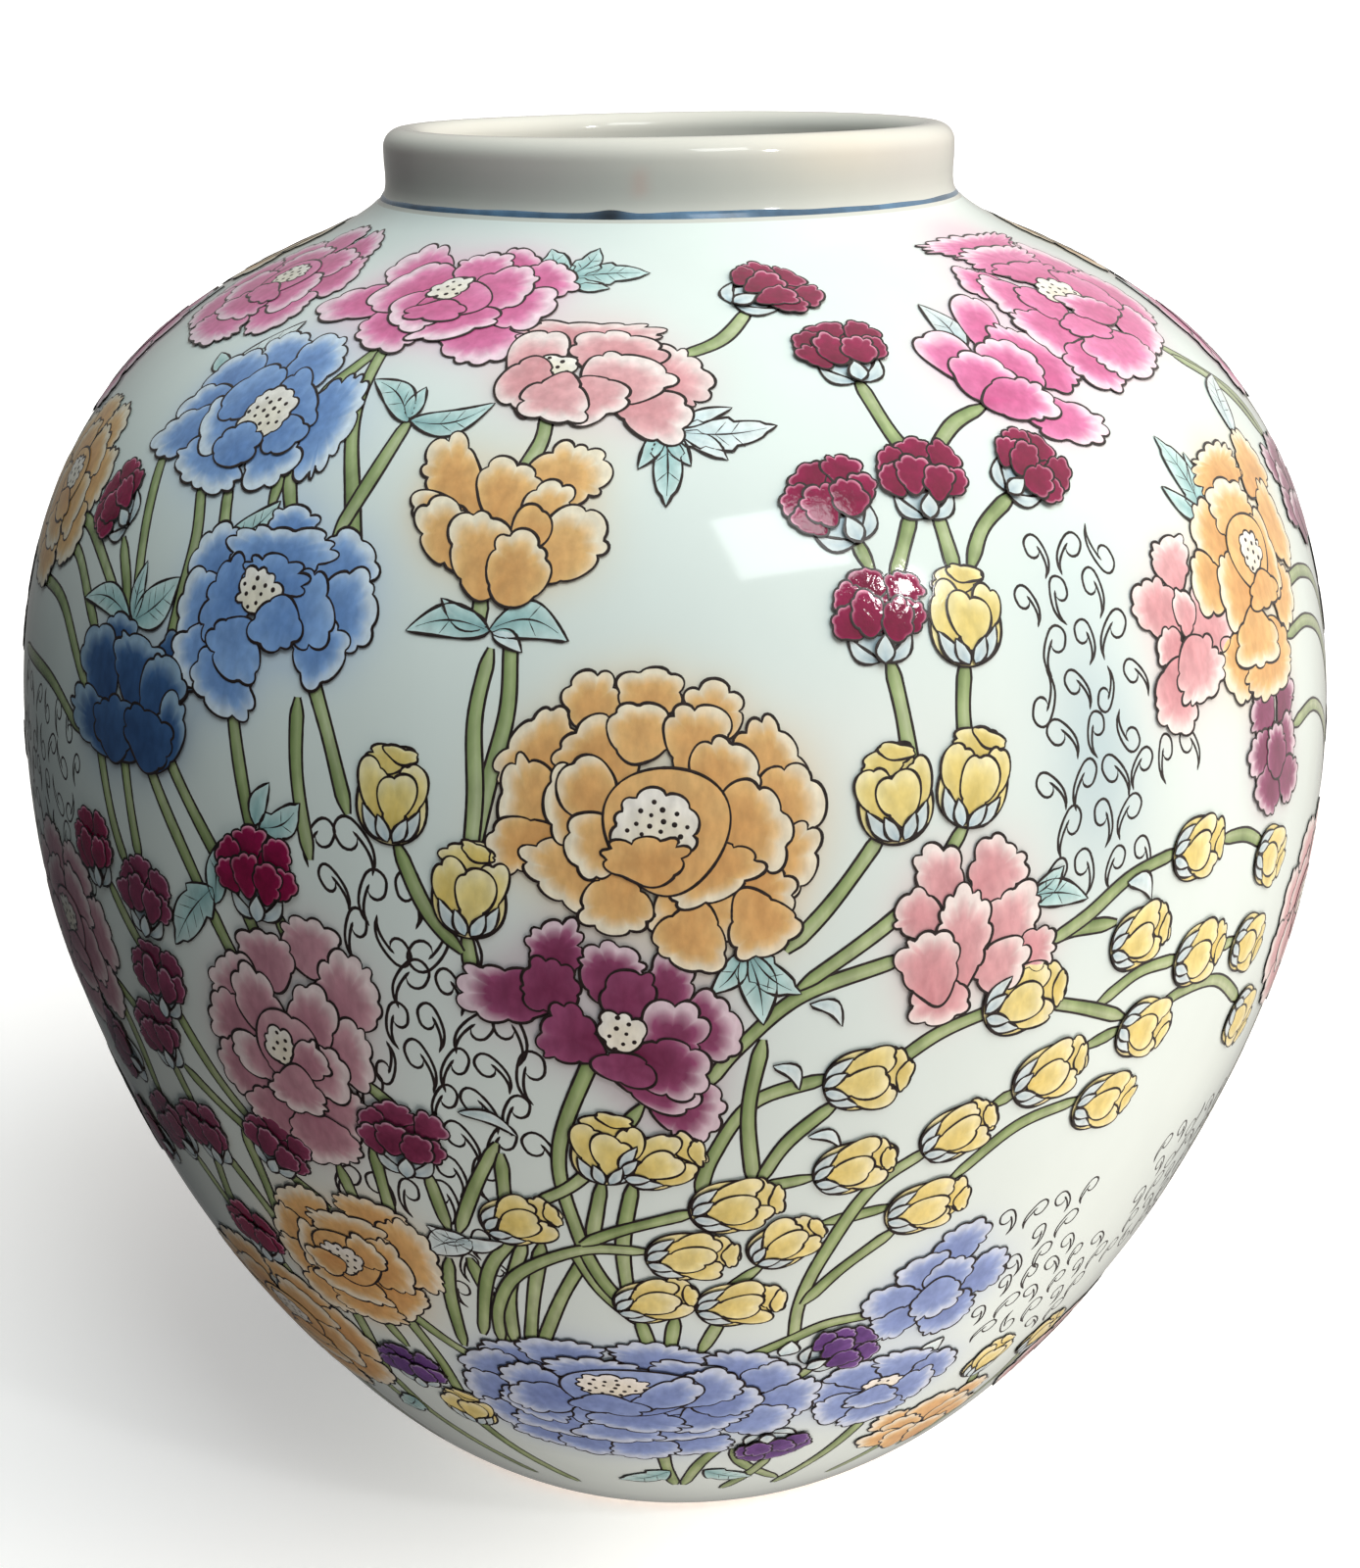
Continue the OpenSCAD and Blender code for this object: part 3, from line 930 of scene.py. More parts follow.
        (-1.2, 71.4, 8, 13, 55, 2), (-7, 67.6, 15, 8, 182, 2, "deep"),
    ]),
    ("right_bell_flower", "periwinkle", (22, 93), [
        (22.9, 104.2, 9, 10, 22, 4), (20, 99.2, 9, 9, -35, 4), (17.6, 92.8, 9, 9, -75, 4),
        (26, 94.2, 11, 10, 72, 5), (18.6, 86.4, 8, 10, -128, 4), (23.6, 85.4, 11, 10, 150, 5),
        (22.6, 96.4, 9, 9, 20, 4), (22, 90.6, 10, 9, 165, 4),
    ]),
    ("right_foot_peony", "periwinkle", (19, 64), [
        (14.8, 66.8, 11, 10, -62, 4), (17, 71.6, 11, 9, -12, 4), (21.2, 71.8, 12, 8, 12, 5),
        (25, 67, 10, 9, 62, 4), (23.2, 61.6, 11, 9, 100, 4), (15.8, 59.6, 11, 10, -122, 4),
        (19.8, 55.6, 12, 10, 180, 5), (19.4, 65.4, 8, 7, 0, 4, "heart"), (19, 61.4, 10, 7, 185, 3),
    ]),
]

# Flowers seen only edge-on are drawn from these two patterns, as offsets in
# millimetres from the middle: (x, y, width, height, tip direction, lobes[, kind]).
ROUND_PEONY = [
    (-5, 13, 12, 10, -20, 5), (7, 12, 12, 10, 28, 5), (-13, 6, 12, 10, -62, 4), (14, 4, 12, 10, 74, 4),
    (-15, -3, 12, 10, -98, 4), (12, -7, 12, 11, 120, 5), (-10, -11, 12, 10, -138, 5),
    (1, -14, 14, 10, 178, 6), (-6, 6, 12, 10, -40, 4), (6, 7, 12, 10, 35, 4), (8, -2, 11, 10, 95, 3),
    (-8, -4, 11, 10, -105, 3), (0, -8, 13, 9, 180, 4), (0, 0.5, 13, 13, 0, 0, "deep"),
    (-0.5, 1.5, 9, 8, 0, 5, "heart"), (1, -4, 11, 7, 185, 3, "deep"),
]
CUP_PEONY = [
    (-8, 8, 9, 13, -45, 4), (8, 8, 9, 13, 45, 4), (0, 9, 11, 11, 0, 4), (-5, 3, 9, 12, -28, 4),
    (6, 3, 9, 12, 28, 3), (-9, -1, 8, 12, -60, 3), (9, -1, 8, 12, 62, 3), (-3, -4, 10, 11, -6, 4),
    (3.5, -5, 10, 10, 10, 4),
]

# Name, pattern, enamel, middle, scale.
EDGE_FLOWERS = [
    ("left_edge_peony", ROUND_PEONY, "pink", (-62, 272), 1.0),
    ("left_edge_orange", ROUND_PEONY, "orange", (-66.5, 221), 0.95),
    ("left_edge_mauve", ROUND_PEONY, "mauve", (-56.5, 146), 1.0),
    ("left_foot_orange", ROUND_PEONY, "orange", (-43, 65), 1.15),
    ("right_edge_peony", ROUND_PEONY, "rose", (65, 140), 1.0),
    ("right_edge_cup", CUP_PEONY, "magenta", (71, 214), 0.8),
    ("left_low_cup", CUP_PEONY, "blue", (-67, 95), 1.0),
    ("left_foot_blue", CUP_PEONY, "periwinkle", (-61, 45), 1.0),
    ("right_low_cup", CUP_PEONY, "orange", (29, 38), 0.9),
    ("foot_rose", ROUND_PEONY, "rose", (52, 42), 0.8),
]

# Turn, climb, direction of the head, size, enamel.
CARNATIONS = [
    (12.5, 275.6, 62, 13.6, "crimson"), (17.5, 259.5, 0, 13.4, "crimson"),
    (12.3, 232, -22, 13.2, "crimson"), (20.2, 234.8, 10, 12.6, "crimson"), (30.3, 234, 62, 12.4, "crimson"),
    (14.6, 215, 4, 13, "crimson"), (-53, 223, -62, 13, "crimson"), (-30, 173, 2, 14, "crimson"),
    (-49, 166.5, -12, 12.5, "crimson"), (-42, 162.5, 6, 13, "plum"), (-41.6, 148, 0, 13, "plum"),
    (-43.6, 136, -18, 12.5, "plum"), (-41.4, 117, -12, 13, "plum"), (-32.2, 121.5, 28, 12.5, "plum"),
    (-20, 131, 6, 14, "plum"), (-40.4, 93, 0, 13.5, "crimson"), (-52, 125, -70, 13, "plum"),
    (-47.5, 112, -50, 13, "plum"), (-54, 103, -75, 13, "crimson"), (-27, 67, 0, 12.5, "purple"),
    (14, 81.5, 60, 12.5, "purple"), (9.6, 47, 170, 13, "purple"),
]

# Turn, climb, direction of the tip, size.
BUDS = [
    (-19.1, 189, 0, 14), (-13.6, 176, 2, 14), (21, 213.5, 0, 14), (14.6, 189.5, -6, 14),
    (20.4, 190, 16, 14), (-5, 133.5, 2, 13.5), (-1.2, 131.4, 62, 13), (13, 144.6, 82, 13.5),
    (24.6, 154, 78, 14.5), (27.6, 138.6, 72, 14), (20.4, 131.4, 62, 13), (12.6, 127.8, 72, 13),
    (4.2, 121.8, 74, 14), (19, 116.2, 80, 14), (8, 112.6, 48, 12.5), (0.9, 110.6, 80, 14),
    (-1.9, 99.4, 66, 13.5), (4.8, 98, 80, 14), (-11.8, 117.2, 60, 13), (40.6, 170, 92, 13),
    (34.7, 158.6, 82, 13), (51.6, 160.8, 112, 13), (42, 150.6, 92, 14), (49.6, 146.2, 112, 13),
    (36.6, 140.6, 112, 13.5), (33.8, 128.4, 98, 13.5), (52.2, 128.6, 132, 14), (-22.6, 55.5, 0, 13),
    (33, 61, 20, 12), (42, 57.5, 40, 12),
]

# Leaves: foot, tip, width, bend, enamel, teeth, veins.
LEAVES = [
    ((-13.8, 280.5), (-18.2, 288.5), 5.5, 0.1, "teal", 2, 2),
    ((-13.8, 280.5), (-10.6, 288.8), 5, -0.2, "teal", 3, 2),
    ((-13.6, 280.2), (-2.6, 281.6), 6, 0.1, "teal", 3, 3),
    ((-13, 279.6), (-7.5, 277.2), 3.5, -0.15, "teal", 2, 0),
    ((-23.4, 245), (-29.2, 252.6), 5, -0.25, "teal", 0, 2),
    ((-23.2, 245.2), (-15.8, 249.4), 4.8, -0.3, "teal", 0, 2),
    ((-23.4, 245.6), (-23.2, 251.8), 3.2, 0.1, "teal", 0, 0),
    ((-49.8, 250.6), (-45.4, 263.6), 5.5, -0.15, "ice", 0, 3),
    ((-50.2, 250), (-53.6, 253), 3.6, 0.1, "teal", 0, 0),
    ((-36.8, 221.6), (-32.6, 229.4), 5, -0.2, "teal", 0, 3),
    ((-12.8, 213.4), (-19, 212.6), 5, -0.25, "teal", 0, 1),
    ((-13, 214), (-16.6, 217.6), 3.2, 0.2, "teal", 0, 0),
    ((-12.8, 213.6), (-7.2, 212.4), 5.6, 0.4, "teal", 0, 1),
    ((-12.6, 213.2), (-10.4, 210.6), 2.6, 0.2, "ice", 0, 0),
    ((0.6, 244.4), (9, 245), 5.6, -0.12, "ice", 3, 2), ((0.4, 244), (4.6, 239.4), 3.4, 0.2, "ice", 2, 0),
    ((0.6, 245.2), (5.4, 248.6), 2.6, 0.1, "ice", 0, 0),
    ((-0.4, 244.6), (-0.4, 232.2), 4.4, 0.05, "teal", 2, 2),
    ((-0.8, 245), (-2.6, 238.2), 2.8, 0.1, "teal", 0, 0),
    ((0, 244.6), (1.6, 238.6), 2.8, -0.1, "teal", 0, 0),
    ((47.8, 219.8), (46.4, 235), 6.5, -0.1, "teal", 2, 3),
    ((47.8, 220), (43.8, 226.8), 3.6, 0.15, "teal", 0, 0),
    ((47.9, 220.2), (49.2, 231), 3.4, -0.1, "teal", 0, 0),
    ((30.6, 257), (30, 269), 5.5, -0.2, "white", 0, 1),
    ((24.2, 170.6), (29.3, 168), 4.5, 0.15, "teal", 0, 1),
    ((24.2, 170.4), (27.2, 174.2), 3.8, -0.2, "teal", 2, 1),
    ((4.6, 167.4), (5.7, 155.6), 5.4, 0.1, "teal", 0, 1),
    ((4.8, 167.4), (8.2, 160.2), 4.8, -0.2, "teal", 2, 1),
    ((4.4, 167.4), (2.2, 161), 3.8, 0.2, "teal", 0, 1),
    ((-29.6, 180.4), (-26.2, 185.4), 5, -0.3, "teal", 2, 1),
    ((-30, 180.6), (-28.8, 187.6), 3.4, 0.2, "teal", 0, 0),
    ((-34.2, 168.6), (-38.8, 156.2), 7, -0.1, "teal", 2, 3),
    ((-34, 166), (-32.8, 177.4), 4.6, 0.1, "teal", 0, 1),
    ((-45, 206.2), (-40.6, 214.8), 7, -0.15, "teal", 0, 3),
    ((-45.4, 206), (-53.2, 206.4), 5, -0.25, "teal", 0, 2),
    ((-45, 206.2), (-45.2, 215.8), 3.6, 0.1, "teal", 0, 1),
    ((-16, 110.4), (-20.2, 105.6), 6.5, -0.2, "ice", 0, 2),
    ((-16.2, 110.6), (-19.6, 112.4), 3.6, 0.3, "ice", 0, 1),
    ((-17.4, 109.8), (-13.4, 111.2), 3.4, -0.2, "ice", 0, 0),
    ((-15.4, 138.2), (-11.2, 134.8), 2.2, 0.3, "ice", 0, 0),
    ((60.8, 230.6), (67.5, 240.4), 6, 0.2, "ice", 0, 3),
    ((33, 168.6), (35.4, 164.4), 3.2, 0.5, "ice", 0, 0), ((8.8, 158.4), (11, 154.2), 2.4, 0.5, "ice", 0, 0),
    ((6.4, 148.4), (8.2, 143.8), 2.4, 0.5, "ice", 0, 0), ((9, 134.8), (11.4, 132), 2.2, 0.5, "ice", 0, 0),
    ((8.6, 82), (9.4, 86), 3.6, -0.4, "ice", 0, 0), ((23.6, 72), (24.6, 76.8), 4, 0.4, "ice", 0, 0),
    ((-30.5, 50), (-34.5, 42), 6, 0.2, "teal", 2, 2), ((2.5, 36), (8.5, 30), 6, -0.2, "teal", 2, 2),
    ((-1.5, 36), (-8, 29), 6, 0.2, "teal", 2, 2),
]

# Stems, as places that their middles pass through.
STEMS = [
    [(-31, 261), (-32.8, 254), (-34.4, 248)], [(-31, 261), (-29.2, 246), (-26, 232), (-24, 221)],
    [(-23.3, 246), (-24.6, 236), (-26.4, 225)], [(-10.9, 249), (-10.8, 243), (-12.2, 236)],
    [(-13.8, 220), (-13.5, 213)], [(-11.4, 220), (-11.2, 211), (-11.2, 202), (-12.4, 191), (-13.4, 181)],
    [(-12.6, 211), (-13.4, 201), (-13.2, 190), (-13.5, 181)],
    [(-42.6, 231), (-40.4, 222), (-40, 212), (-40.3, 199)], [(-50, 234), (-46.8, 218), (-44.6, 205)],
    [(-39, 231), (-37.2, 222)], [(-33.8, 235), (-33.4, 228)], [(-33.2, 235), (-30.6, 226)],
    [(-60, 218), (-56, 217), (-50, 211), (-46, 204)], [(-65, 213), (-57, 212), (-50, 202)],
    [(-68, 204), (-58, 203.6), (-50, 192)], [(-68, 190), (-58, 190), (-51, 185)],
    [(-50, 218), (-47.2, 211), (-46, 205)], [(-33, 200), (-31.2, 186), (-30.2, 178)],
    [(-26.4, 206), (-24.2, 196), (-22.4, 185)], [(-27, 201), (-26.6, 190), (-25.4, 177)],
    [(-48.6, 191), (-46, 174), (-44.2, 166)], [(-44.8, 191), (-42.4, 168)],
    [(-43, 191), (-37.4, 174), (-34.8, 165)], [(-40.6, 192), (-35.2, 178), (-32.6, 171)],
    [(-47.4, 162), (-44.2, 154), (-42, 150)], [(-35, 166), (-32, 155)], [(-31.6, 168), (-29.8, 160)],
    [(-28.6, 168), (-27, 161)], [(-40.6, 144), (-37.4, 133), (-34.4, 125)], [(-26.4, 122), (-25.6, 112)],
    [(-22.8, 128), (-22.6, 112)], [(-22.6, 141), (-19.8, 136)], [(-43, 131), (-41.8, 122)],
    [(-41.2, 131), (-37, 125), (-33.8, 121)], [(-50, 141), (-48, 130), (-47.6, 118)],
    [(-49.5, 142), (-45.4, 137)], [(-32.4, 116), (-28.6, 110)], [(-35.8, 122), (-35.4, 110), (-35.6, 98)],
    [(-39.8, 114), (-37.2, 105), (-35.6, 98)], [(-41.6, 111), (-42.4, 100), (-42.2, 94)],
    [(-45.6, 107), (-43.2, 97), (-42, 90)], [(-41, 87), (-42, 78)], [(-38.6, 87), (-38, 76)],
    [(-31, 82), (-31, 72), (-31.8, 58)], [(-25, 87), (-23, 73), (-22.6, 60)],
    [(-24.4, 87), (-21, 80), (-18.4, 76)], [(-27.8, 83), (-26.2, 74)], [(-18.6, 125), (-17.8, 112)],
    [(-12.8, 133), (-15, 123), (-17, 112)], [(-12.6, 131), (-12.8, 119)], [(-13.9, 170), (-13.6, 162)],
    [(-18.8, 182), (-16.6, 172), (-14.2, 166)], [(-18.4, 105), (-19.2, 95), (-19.5, 80)],
    [(-16.6, 106), (-15.6, 95), (-14.8, 84)], [(-12.4, 113), (-15.2, 103), (-17.2, 85)],
    [(-11.8, 112), (-13.8, 98), (-14.4, 84)], [(-10.4, 112), (-11.8, 98), (-13, 84)],
    [(-6.8, 111), (-9.4, 99), (-12, 84)], [(-8.2, 112), (-6, 101), (-3, 92)],
    [(-5, 154), (-8.3, 133), (-7.6, 116), (-6, 104), (-3.4, 95)], [(-3.2, 127), (-4.2, 113), (-4, 98)],
    [(-5.4, 127), (-6.6, 113)], [(-2.4, 142), (-6.8, 127.5), (-10.6, 121)],
    [(-2.2, 111.6), (-7.4, 111.2), (-12.6, 104), (-15, 94), (-15.6, 84)],
    [(1.2, 120.6), (-4, 116.6), (-7.4, 112.6)], [(6.2, 107), (3.4, 101)], [(16, 117.6), (10.6, 116)],
    [(9.8, 126.4), (5.4, 125)], [(10.4, 145.6), (5.2, 142), (2.4, 132), (1.4, 124)],
    [(22.4, 153.2), (18, 150.6), (14.6, 146)], [(15.4, 164.4), (8.4, 160), (4.2, 152), (1.8, 145)],
    [(13.8, 184), (10.2, 174), (7.2, 167)], [(19.8, 184), (15.8, 173), (8, 161)],
    [(5.7, 153), (4.8, 140), (5.3, 126)], [(11, 141), (7.6, 134), (5.6, 126)],
    [(31, 130.8), (25.4, 129.2), (20.4, 121)], [(18.4, 129), (14, 122), (11, 108), (9.6, 96), (9.6, 84)],
    [(16.6, 112), (12.6, 104), (9.8, 96)], [(25.2, 136.8), (22.6, 134.6)], [(34, 142.4), (30.2, 141.2)],
    [(39.4, 151.4), (35, 152), (31, 148.6)], [(34, 144.4), (30.2, 148.6), (26.4, 152)],
    [(32.2, 162.4), (28.4, 163.2), (26, 162.6)], [(38.2, 170.8), (33.4, 169.4), (29.4, 165), (26, 162)],
    [(43.4, 169.4), (47, 167.8), (50, 164)], [(47.4, 148.6), (44.4, 149.4)],
    [(50.4, 134), (45.4, 142.4), (40.4, 144.4), (37.6, 143)],
    [(58.6, 204), (64, 203.4), (69.5, 198), (73, 184), (74.5, 160), (75, 120), (74, 80), (70, 45), (66, 24)],
    [(56.4, 196), (62.4, 195.4), (68, 189), (72, 174), (74, 156)],
    [(55.8, 181), (62, 180.5), (68, 172), (72, 158), (74, 142)], [(9.4, 271.4), (5.4, 263.4), (0.6, 259.4)],
    [(17.6, 253.4), (18.6, 244), (19.8, 238)], [(13.4, 227.4), (14.6, 221)],
    [(18.8, 230.4), (17.2, 224), (16, 219)], [(27.8, 230.6), (24.2, 226), (22.2, 220)],
    [(20.6, 230), (21, 219)], [(15, 208.6), (15.6, 200), (16, 191)], [(20.6, 207.4), (20, 200), (20, 192)],
    [(29, 245.8), (25, 243.2), (21.6, 238)], [(-2.2, 48), (-1.8, 37), (-1, 26)],
    [(4.6, 50), (2, 40), (0, 26)], [(5.4, 47), (7, 38), (12, 26)],
    [(4.2, 80.6), (9, 86), (12.4, 89.6), (17, 90)], [(10, 70.4), (14, 68.6)], [(9.8, 72.6), (12.2, 77.6)],
    [(-0.4, 95), (-1, 84)], [(3.4, 94.4), (1.6, 84)], [(-3.4, 95), (-2.4, 84)],
    [(61, 250), (66, 242), (71, 233), (71.5, 222)], [(62, 247), (68, 237), (70.5, 226)],
    [(62.6, 126), (61, 112), (58, 92), (58, 60), (60, 26)], [(30, 44), (26, 32), (20, 20)],
    [(-31.8, 58), (-29, 42), (-20, 22)], [(-22.8, 50), (-20, 38), (-14, 22)],
    [(33, 55), (34, 42), (30, 24)], [(41.6, 52), (40, 40), (33, 24)], [(-44, 50), (-42, 36), (-36, 20)],
    [(-38, 78), (-36, 60), (-33, 44)], [(9.8, 40), (8, 32), (5, 22)], [(19.6, 51), (17, 38), (12, 22)],
]

# The bouquets at the back use the same flowers in other enamels.
BACK_ENAMELS = {
    "pink": "orange", "orange": "blue", "blue": "pink", "navy": "magenta", "rose": "periwinkle",
    "magenta": "rose", "mauve": "blue", "periwinkle": "mauve",
}

# ---------------------------------------------------------------- a bouquet


def spread_out(pattern, middle, scale):
    """A pattern's petals as places on the jar, round a flower's middle."""
    turn, climb = middle
    step = degrees_at(climb, 1)
    petals = []
    for x, y, width, height, *rest in pattern:
        where = (turn + x * scale * step, climb + y * scale)
        petals.append((*where, width * scale, height * scale, *rest))
    return petals


class Bouquet:
    """The painting, or part of it, laid round one side of the jar."""

    def __init__(self, name, centre, flip, low, high, enamels):
        self.name, self.centre, self.flip = name, centre, flip
        self.low, self.high, self.enamels = low, high, enamels

    def takes(self, turn):
        return self.low <= turn <= self.high

    def chart(self, turn, climb):
        return Chart(self.centre + self.flip * turn, climb, self.flip)

    def enamel(self, name):
        return self.enamels.get(name, name)

    def flower(self, name, enamel, middle, petals):
        if self.takes(middle[0]):
            chart, source = self.chart(*middle), Chart(*middle)
            flower(self.name + name, self.enamel(enamel), chart, source, petals)

    def flowers(self):
        for name, enamel, middle, petals in FLOWERS:
            self.flower(name, enamel, middle, petals)
        for name, pattern, enamel, middle, scale in EDGE_FLOWERS:
            self.flower(name, enamel, middle, spread_out(pattern, middle, scale))

    def carnations(self):
        fills = {enamel: Sheet() for enamel in ("crimson", "plum", "purple")}
        cups, line = Sheet(), Sheet()
        for turn, climb, tip, size, enamel in CARNATIONS:
            if self.takes(turn):
                carnation(fills[enamel], cups, line, self.chart(turn, climb), tip, size, enamel)
        for enamel, fill in fills.items():
            fill.piece(f"{self.name}{enamel}_carnations", THICK_ENAMEL, SLOTS[enamel])
        cups.piece(self.name + "carnation_cups", ENAMEL, "glaze")
        line.piece(self.name + "carnation_outlines", LINE, "outline_black")

    def buds(self):
        fill, cups, line = Sheet(), Sheet(), Sheet()
        for turn, climb, tip, size in BUDS:
            if self.takes(turn):
                bud(fill, cups, line, self.chart(turn, climb), tip, size)
        fill.piece(self.name + "buds", ENAMEL, "yellow_enamel")
        cups.piece(self.name + "bud_cups", ENAMEL, "glaze")
        line.piece(self.name + "bud_outlines", LINE, "outline_black")

    def leaves(self):
        fill, line = Sheet(), Sheet()
        for foot, tip, width, bend, enamel, teeth, veins in LEAVES:
            if self.takes(foot[0]):
                chart, source = self.chart(*foot), Chart(*foot)
                end = source.local(*tip)
                leaflet(fill, line, chart, (0, 0), end, width, bend, enamel, LEAF_LIFT, teeth, veins)
        fill.piece(self.name + "leaves", ENAMEL, "teal_enamel")
        line.piece(self.name + "leaf_outlines", LINE, "outline_black")

    def stems(self):
        fill, line = Sheet(), Sheet()
        for places, layer in zip(STEMS, stem_layers()):
            if self.takes(min(places)[0]) and self.takes(max(places)[0]):
                turn, climb = np.mean(places, axis=0)
                source = Chart(turn, climb)
                points = [source.local(*p) for p in places]
                lift = STEM_LIFT + STEM_LAYER * layer
                stem(fill, line, self.chart(turn, climb), points, STEM_WIDTH, lift)
        fill.piece(self.name + "stems", STEM_ENAMEL, "green_enamel")
        line.piece(self.name + "stem_outlines", LINE, "outline_black")

    def scrolls(self):
        line = Sheet()
        for number, (turn, climb, size, tip, way, width) in enumerate(scroll_places()):
            if self.takes(turn):
                lift = SCROLL_LIFT + SCROLL_LAYER * (number % SCROLL_LAYERS)
                scroll(line, self.chart(turn, climb), size, tip, way, lift, width)
        line.piece(self.name + "scrollwork", LINE, "outline_black")

    def paint(self):
        self.scrolls()
        self.stems()
        self.leaves()
        self.buds()
        self.carnations()
        self.flowers()


def stem_layers():
    """Each stem lies over the earlier ones that it crosses."""
    paths = []
    for places in STEMS:
        path = smooth_path(places, 1.0)
        turn_scale = math.radians(1) * radius_at(path[:, 1].mean())
        paths.append(path * (turn_scale, 1))
    layers = []
    for k, path in enumerate(paths):
        layer = 0
        for j in range(k):
            gaps = np.hypot(*(path[:, None] - paths[j][None]).transpose(2, 0, 1))
            if gaps.min() < STEM_WIDTH + STEM_CLEARANCE:
                layer = max(layer, layers[j] + 1)
        layers.append(layer % STEM_LAYERS)
    return layers


# Fields of scrollwork: least and greatest turn, least and greatest climb, line width.
SCROLL_FIELDS = [
    (-26, -9, 118, 184, 0.5), (-24, -13, 96, 112, 0.42), (26.5, 35, 172, 224, 0.42),
    (37, 41, 186, 206, 0.42), (27, 36, 92, 112, 0.38), (28, 44, 66, 90, 0.38), (46, 66, 78, 112, 0.38),
    (-68, -50, 150, 186, 0.38),
]


def blocked(turn, climb):
    """Whether a flower, a carnation or a bud already covers this place."""
    here = Chart(turn, climb)
    for *_, petals in FLOWERS:
        for petal_turn, petal_climb, width, height, *_ in petals:
            apart = math.hypot(*here.local(petal_turn, petal_climb))
            if apart < CLEAR_OF_PETALS + (width + height) / 4:
                return True
    for head_turn, head_climb, *_ in CARNATIONS + BUDS:
        if math.hypot(*here.local(head_turn, head_climb)) < CLEAR_OF_HEADS:
            return True
    return False


def scroll_places():
    """Commas in staggered rows, in pairs that turn away from each other, a few upside down."""
    places = []
    for low, high, foot, top, width in SCROLL_FIELDS:
        row, climb = 0, foot
        while climb <= top:
            step = degrees_at(climb, SCROLL_ACROSS)
            turn = low + (row % 2) * step / 2
            column = 0
            while turn <= high:
                here = turn + rng.uniform(-0.08, 0.08) * step, climb + rng.uniform(-0.4, 0.4)
                if not blocked(*here):
                    way = 1 if (column + row // 2) % 2 else -1
                    tip = rng.uniform(-22, 22) + 180 * (rng.random() < 0.14)
                    size = SCROLL_SIZE * width * rng.uniform(0.88, 1.12)
                    places.append((*here, size, tip, way, width))
                turn += step
                column += 1
            climb += SCROLL_UP
            row += 1
    return places


# ---------------------------------------------------------------- the glazed body

TURNS = np.arange(0, 360, 0.6)
GLAZE_WHITE = np.array((0.675, 0.77, 0.75))
INSIDE_WHITE = (0.76, 0.79, 0.75)
# The glaze ends this far above the foot, and lies this thick on the inside.
GLAZE_EDGE = 2.0
INSIDE_GLAZE_LIFT = 0.1
# The glazed floor's rounded corner, from the wall in to the base disc: radius, height.
FLOOR_CORNER = [
    (69.5, 12.4), (67.4, 11.2), (64.6, 10.6), (61.5, 10.35), (58.6, 10.25), (56.2, 10.1), (56.2, 9.7),
]

# Soft stains on the glaze: turn, climb, half width in degrees, half height, colour, strength.
STAINS = [
    (30.5, 190, 4.4, 20, (0.4, 0.53, 0.58), 0.75), (31, 216, 5, 9, (0.55, 0.66, 0.68), 0.4),
    (20, 238, 6, 8, (0.62, 0.72, 0.68), 0.25), (56, 96, 7, 18, (0.5, 0.6, 0.6), 0.55),
    (30, 96, 5, 10, (0.62, 0.7, 0.7), 0.25), (-54, 206, 8, 12, (0.62, 0.62, 0.6), 0.25),
    (-20, 150, 6, 30, (0.66, 0.76, 0.76), 0.3), (12, 196, 12, 9, (0.84, 0.84, 0.8), 0.25),
]


def soft_spot(turn, climb, at_turn, at_climb, half_turn, half_climb):
    apart = (turn - at_turn + 180) % 360 - 180
    return np.exp(-((apart / half_turn) ** 2) - ((climb - at_climb) / half_climb) ** 2)


def bleeds(bouquets):
    """Each flower's colour spreads thinly past its outline: turn, climb, radius, colour."""
    spots = []
    for bouquet in bouquets:
        for _, enamel, middle, petals in FLOWERS:
            if not bouquet.takes(middle[0]):
                continue
            pale = tone(bouquet.enamel(enamel), np.array([0.62]))[0]
            for turn, climb, width, height, *_ in petals:
                moved = bouquet.centre + bouquet.flip * turn
                spots.append((moved, climb, (width + height) / 4 + BLEED_REACH, pale))
    return spots


def glaze_colour(turns, climb, spots):
    """Colour of the outside glaze along one level row."""
    colour = np.tile(GLAZE_WHITE, (len(turns), 1))
    for *where, stain, strength in STAINS:
        colour = blend(colour, stain, strength * soft_spot(turns, climb, *where)[:, None])
    amount = np.zeros(len(turns))
    tint = np.zeros((len(turns), 3))
    for at_turn, at_climb, reach, pale in spots:
        if abs(at_climb - climb) > 2.4 * reach:
            continue
        spot = soft_spot(turns, climb, at_turn, at_climb, degrees_at(climb, reach), reach)
        amount += spot
        tint += spot[:, None] * pale
    share = BLEED * np.clip(amount, 0, 1)[:, None]
    return blend(colour, tint / np.maximum(amount, 1e-6)[:, None], share)


def circle_row(radius, z):
    return around(TURNS, radius, np.full(len(TURNS), z))


def inner_rows(climbs):
    """Rows down the inside, almost one wall's thickness behind the outline."""
    return [circle_row(*off_wall(climb, INSIDE_GLAZE_LIFT - WALL)) for climb in climbs]


def outward_normals(climb):
    """Normals of the wavy outside along one level row."""
    along = place(TURNS + 0.1, climb, 0) - place(TURNS - 0.1, climb, 0)
    low, high = max(climb - 0.2, 0.0), min(climb + 0.2, CLIMB[-1])
    up = place(TURNS, high, 0) - place(TURNS, low, 0)
    normal = np.cross(along, up)
    return normal / np.linalg.norm(normal, axis=1, keepdims=True)


def ring_piece(name, rows, colours, material, slot):
    """A closed ring from the rows of its section."""
    sheet = Sheet()
    sheet.add_rows(rows, np.vstack(colours), True, True)
    return sheet.piece(name, material, slot)


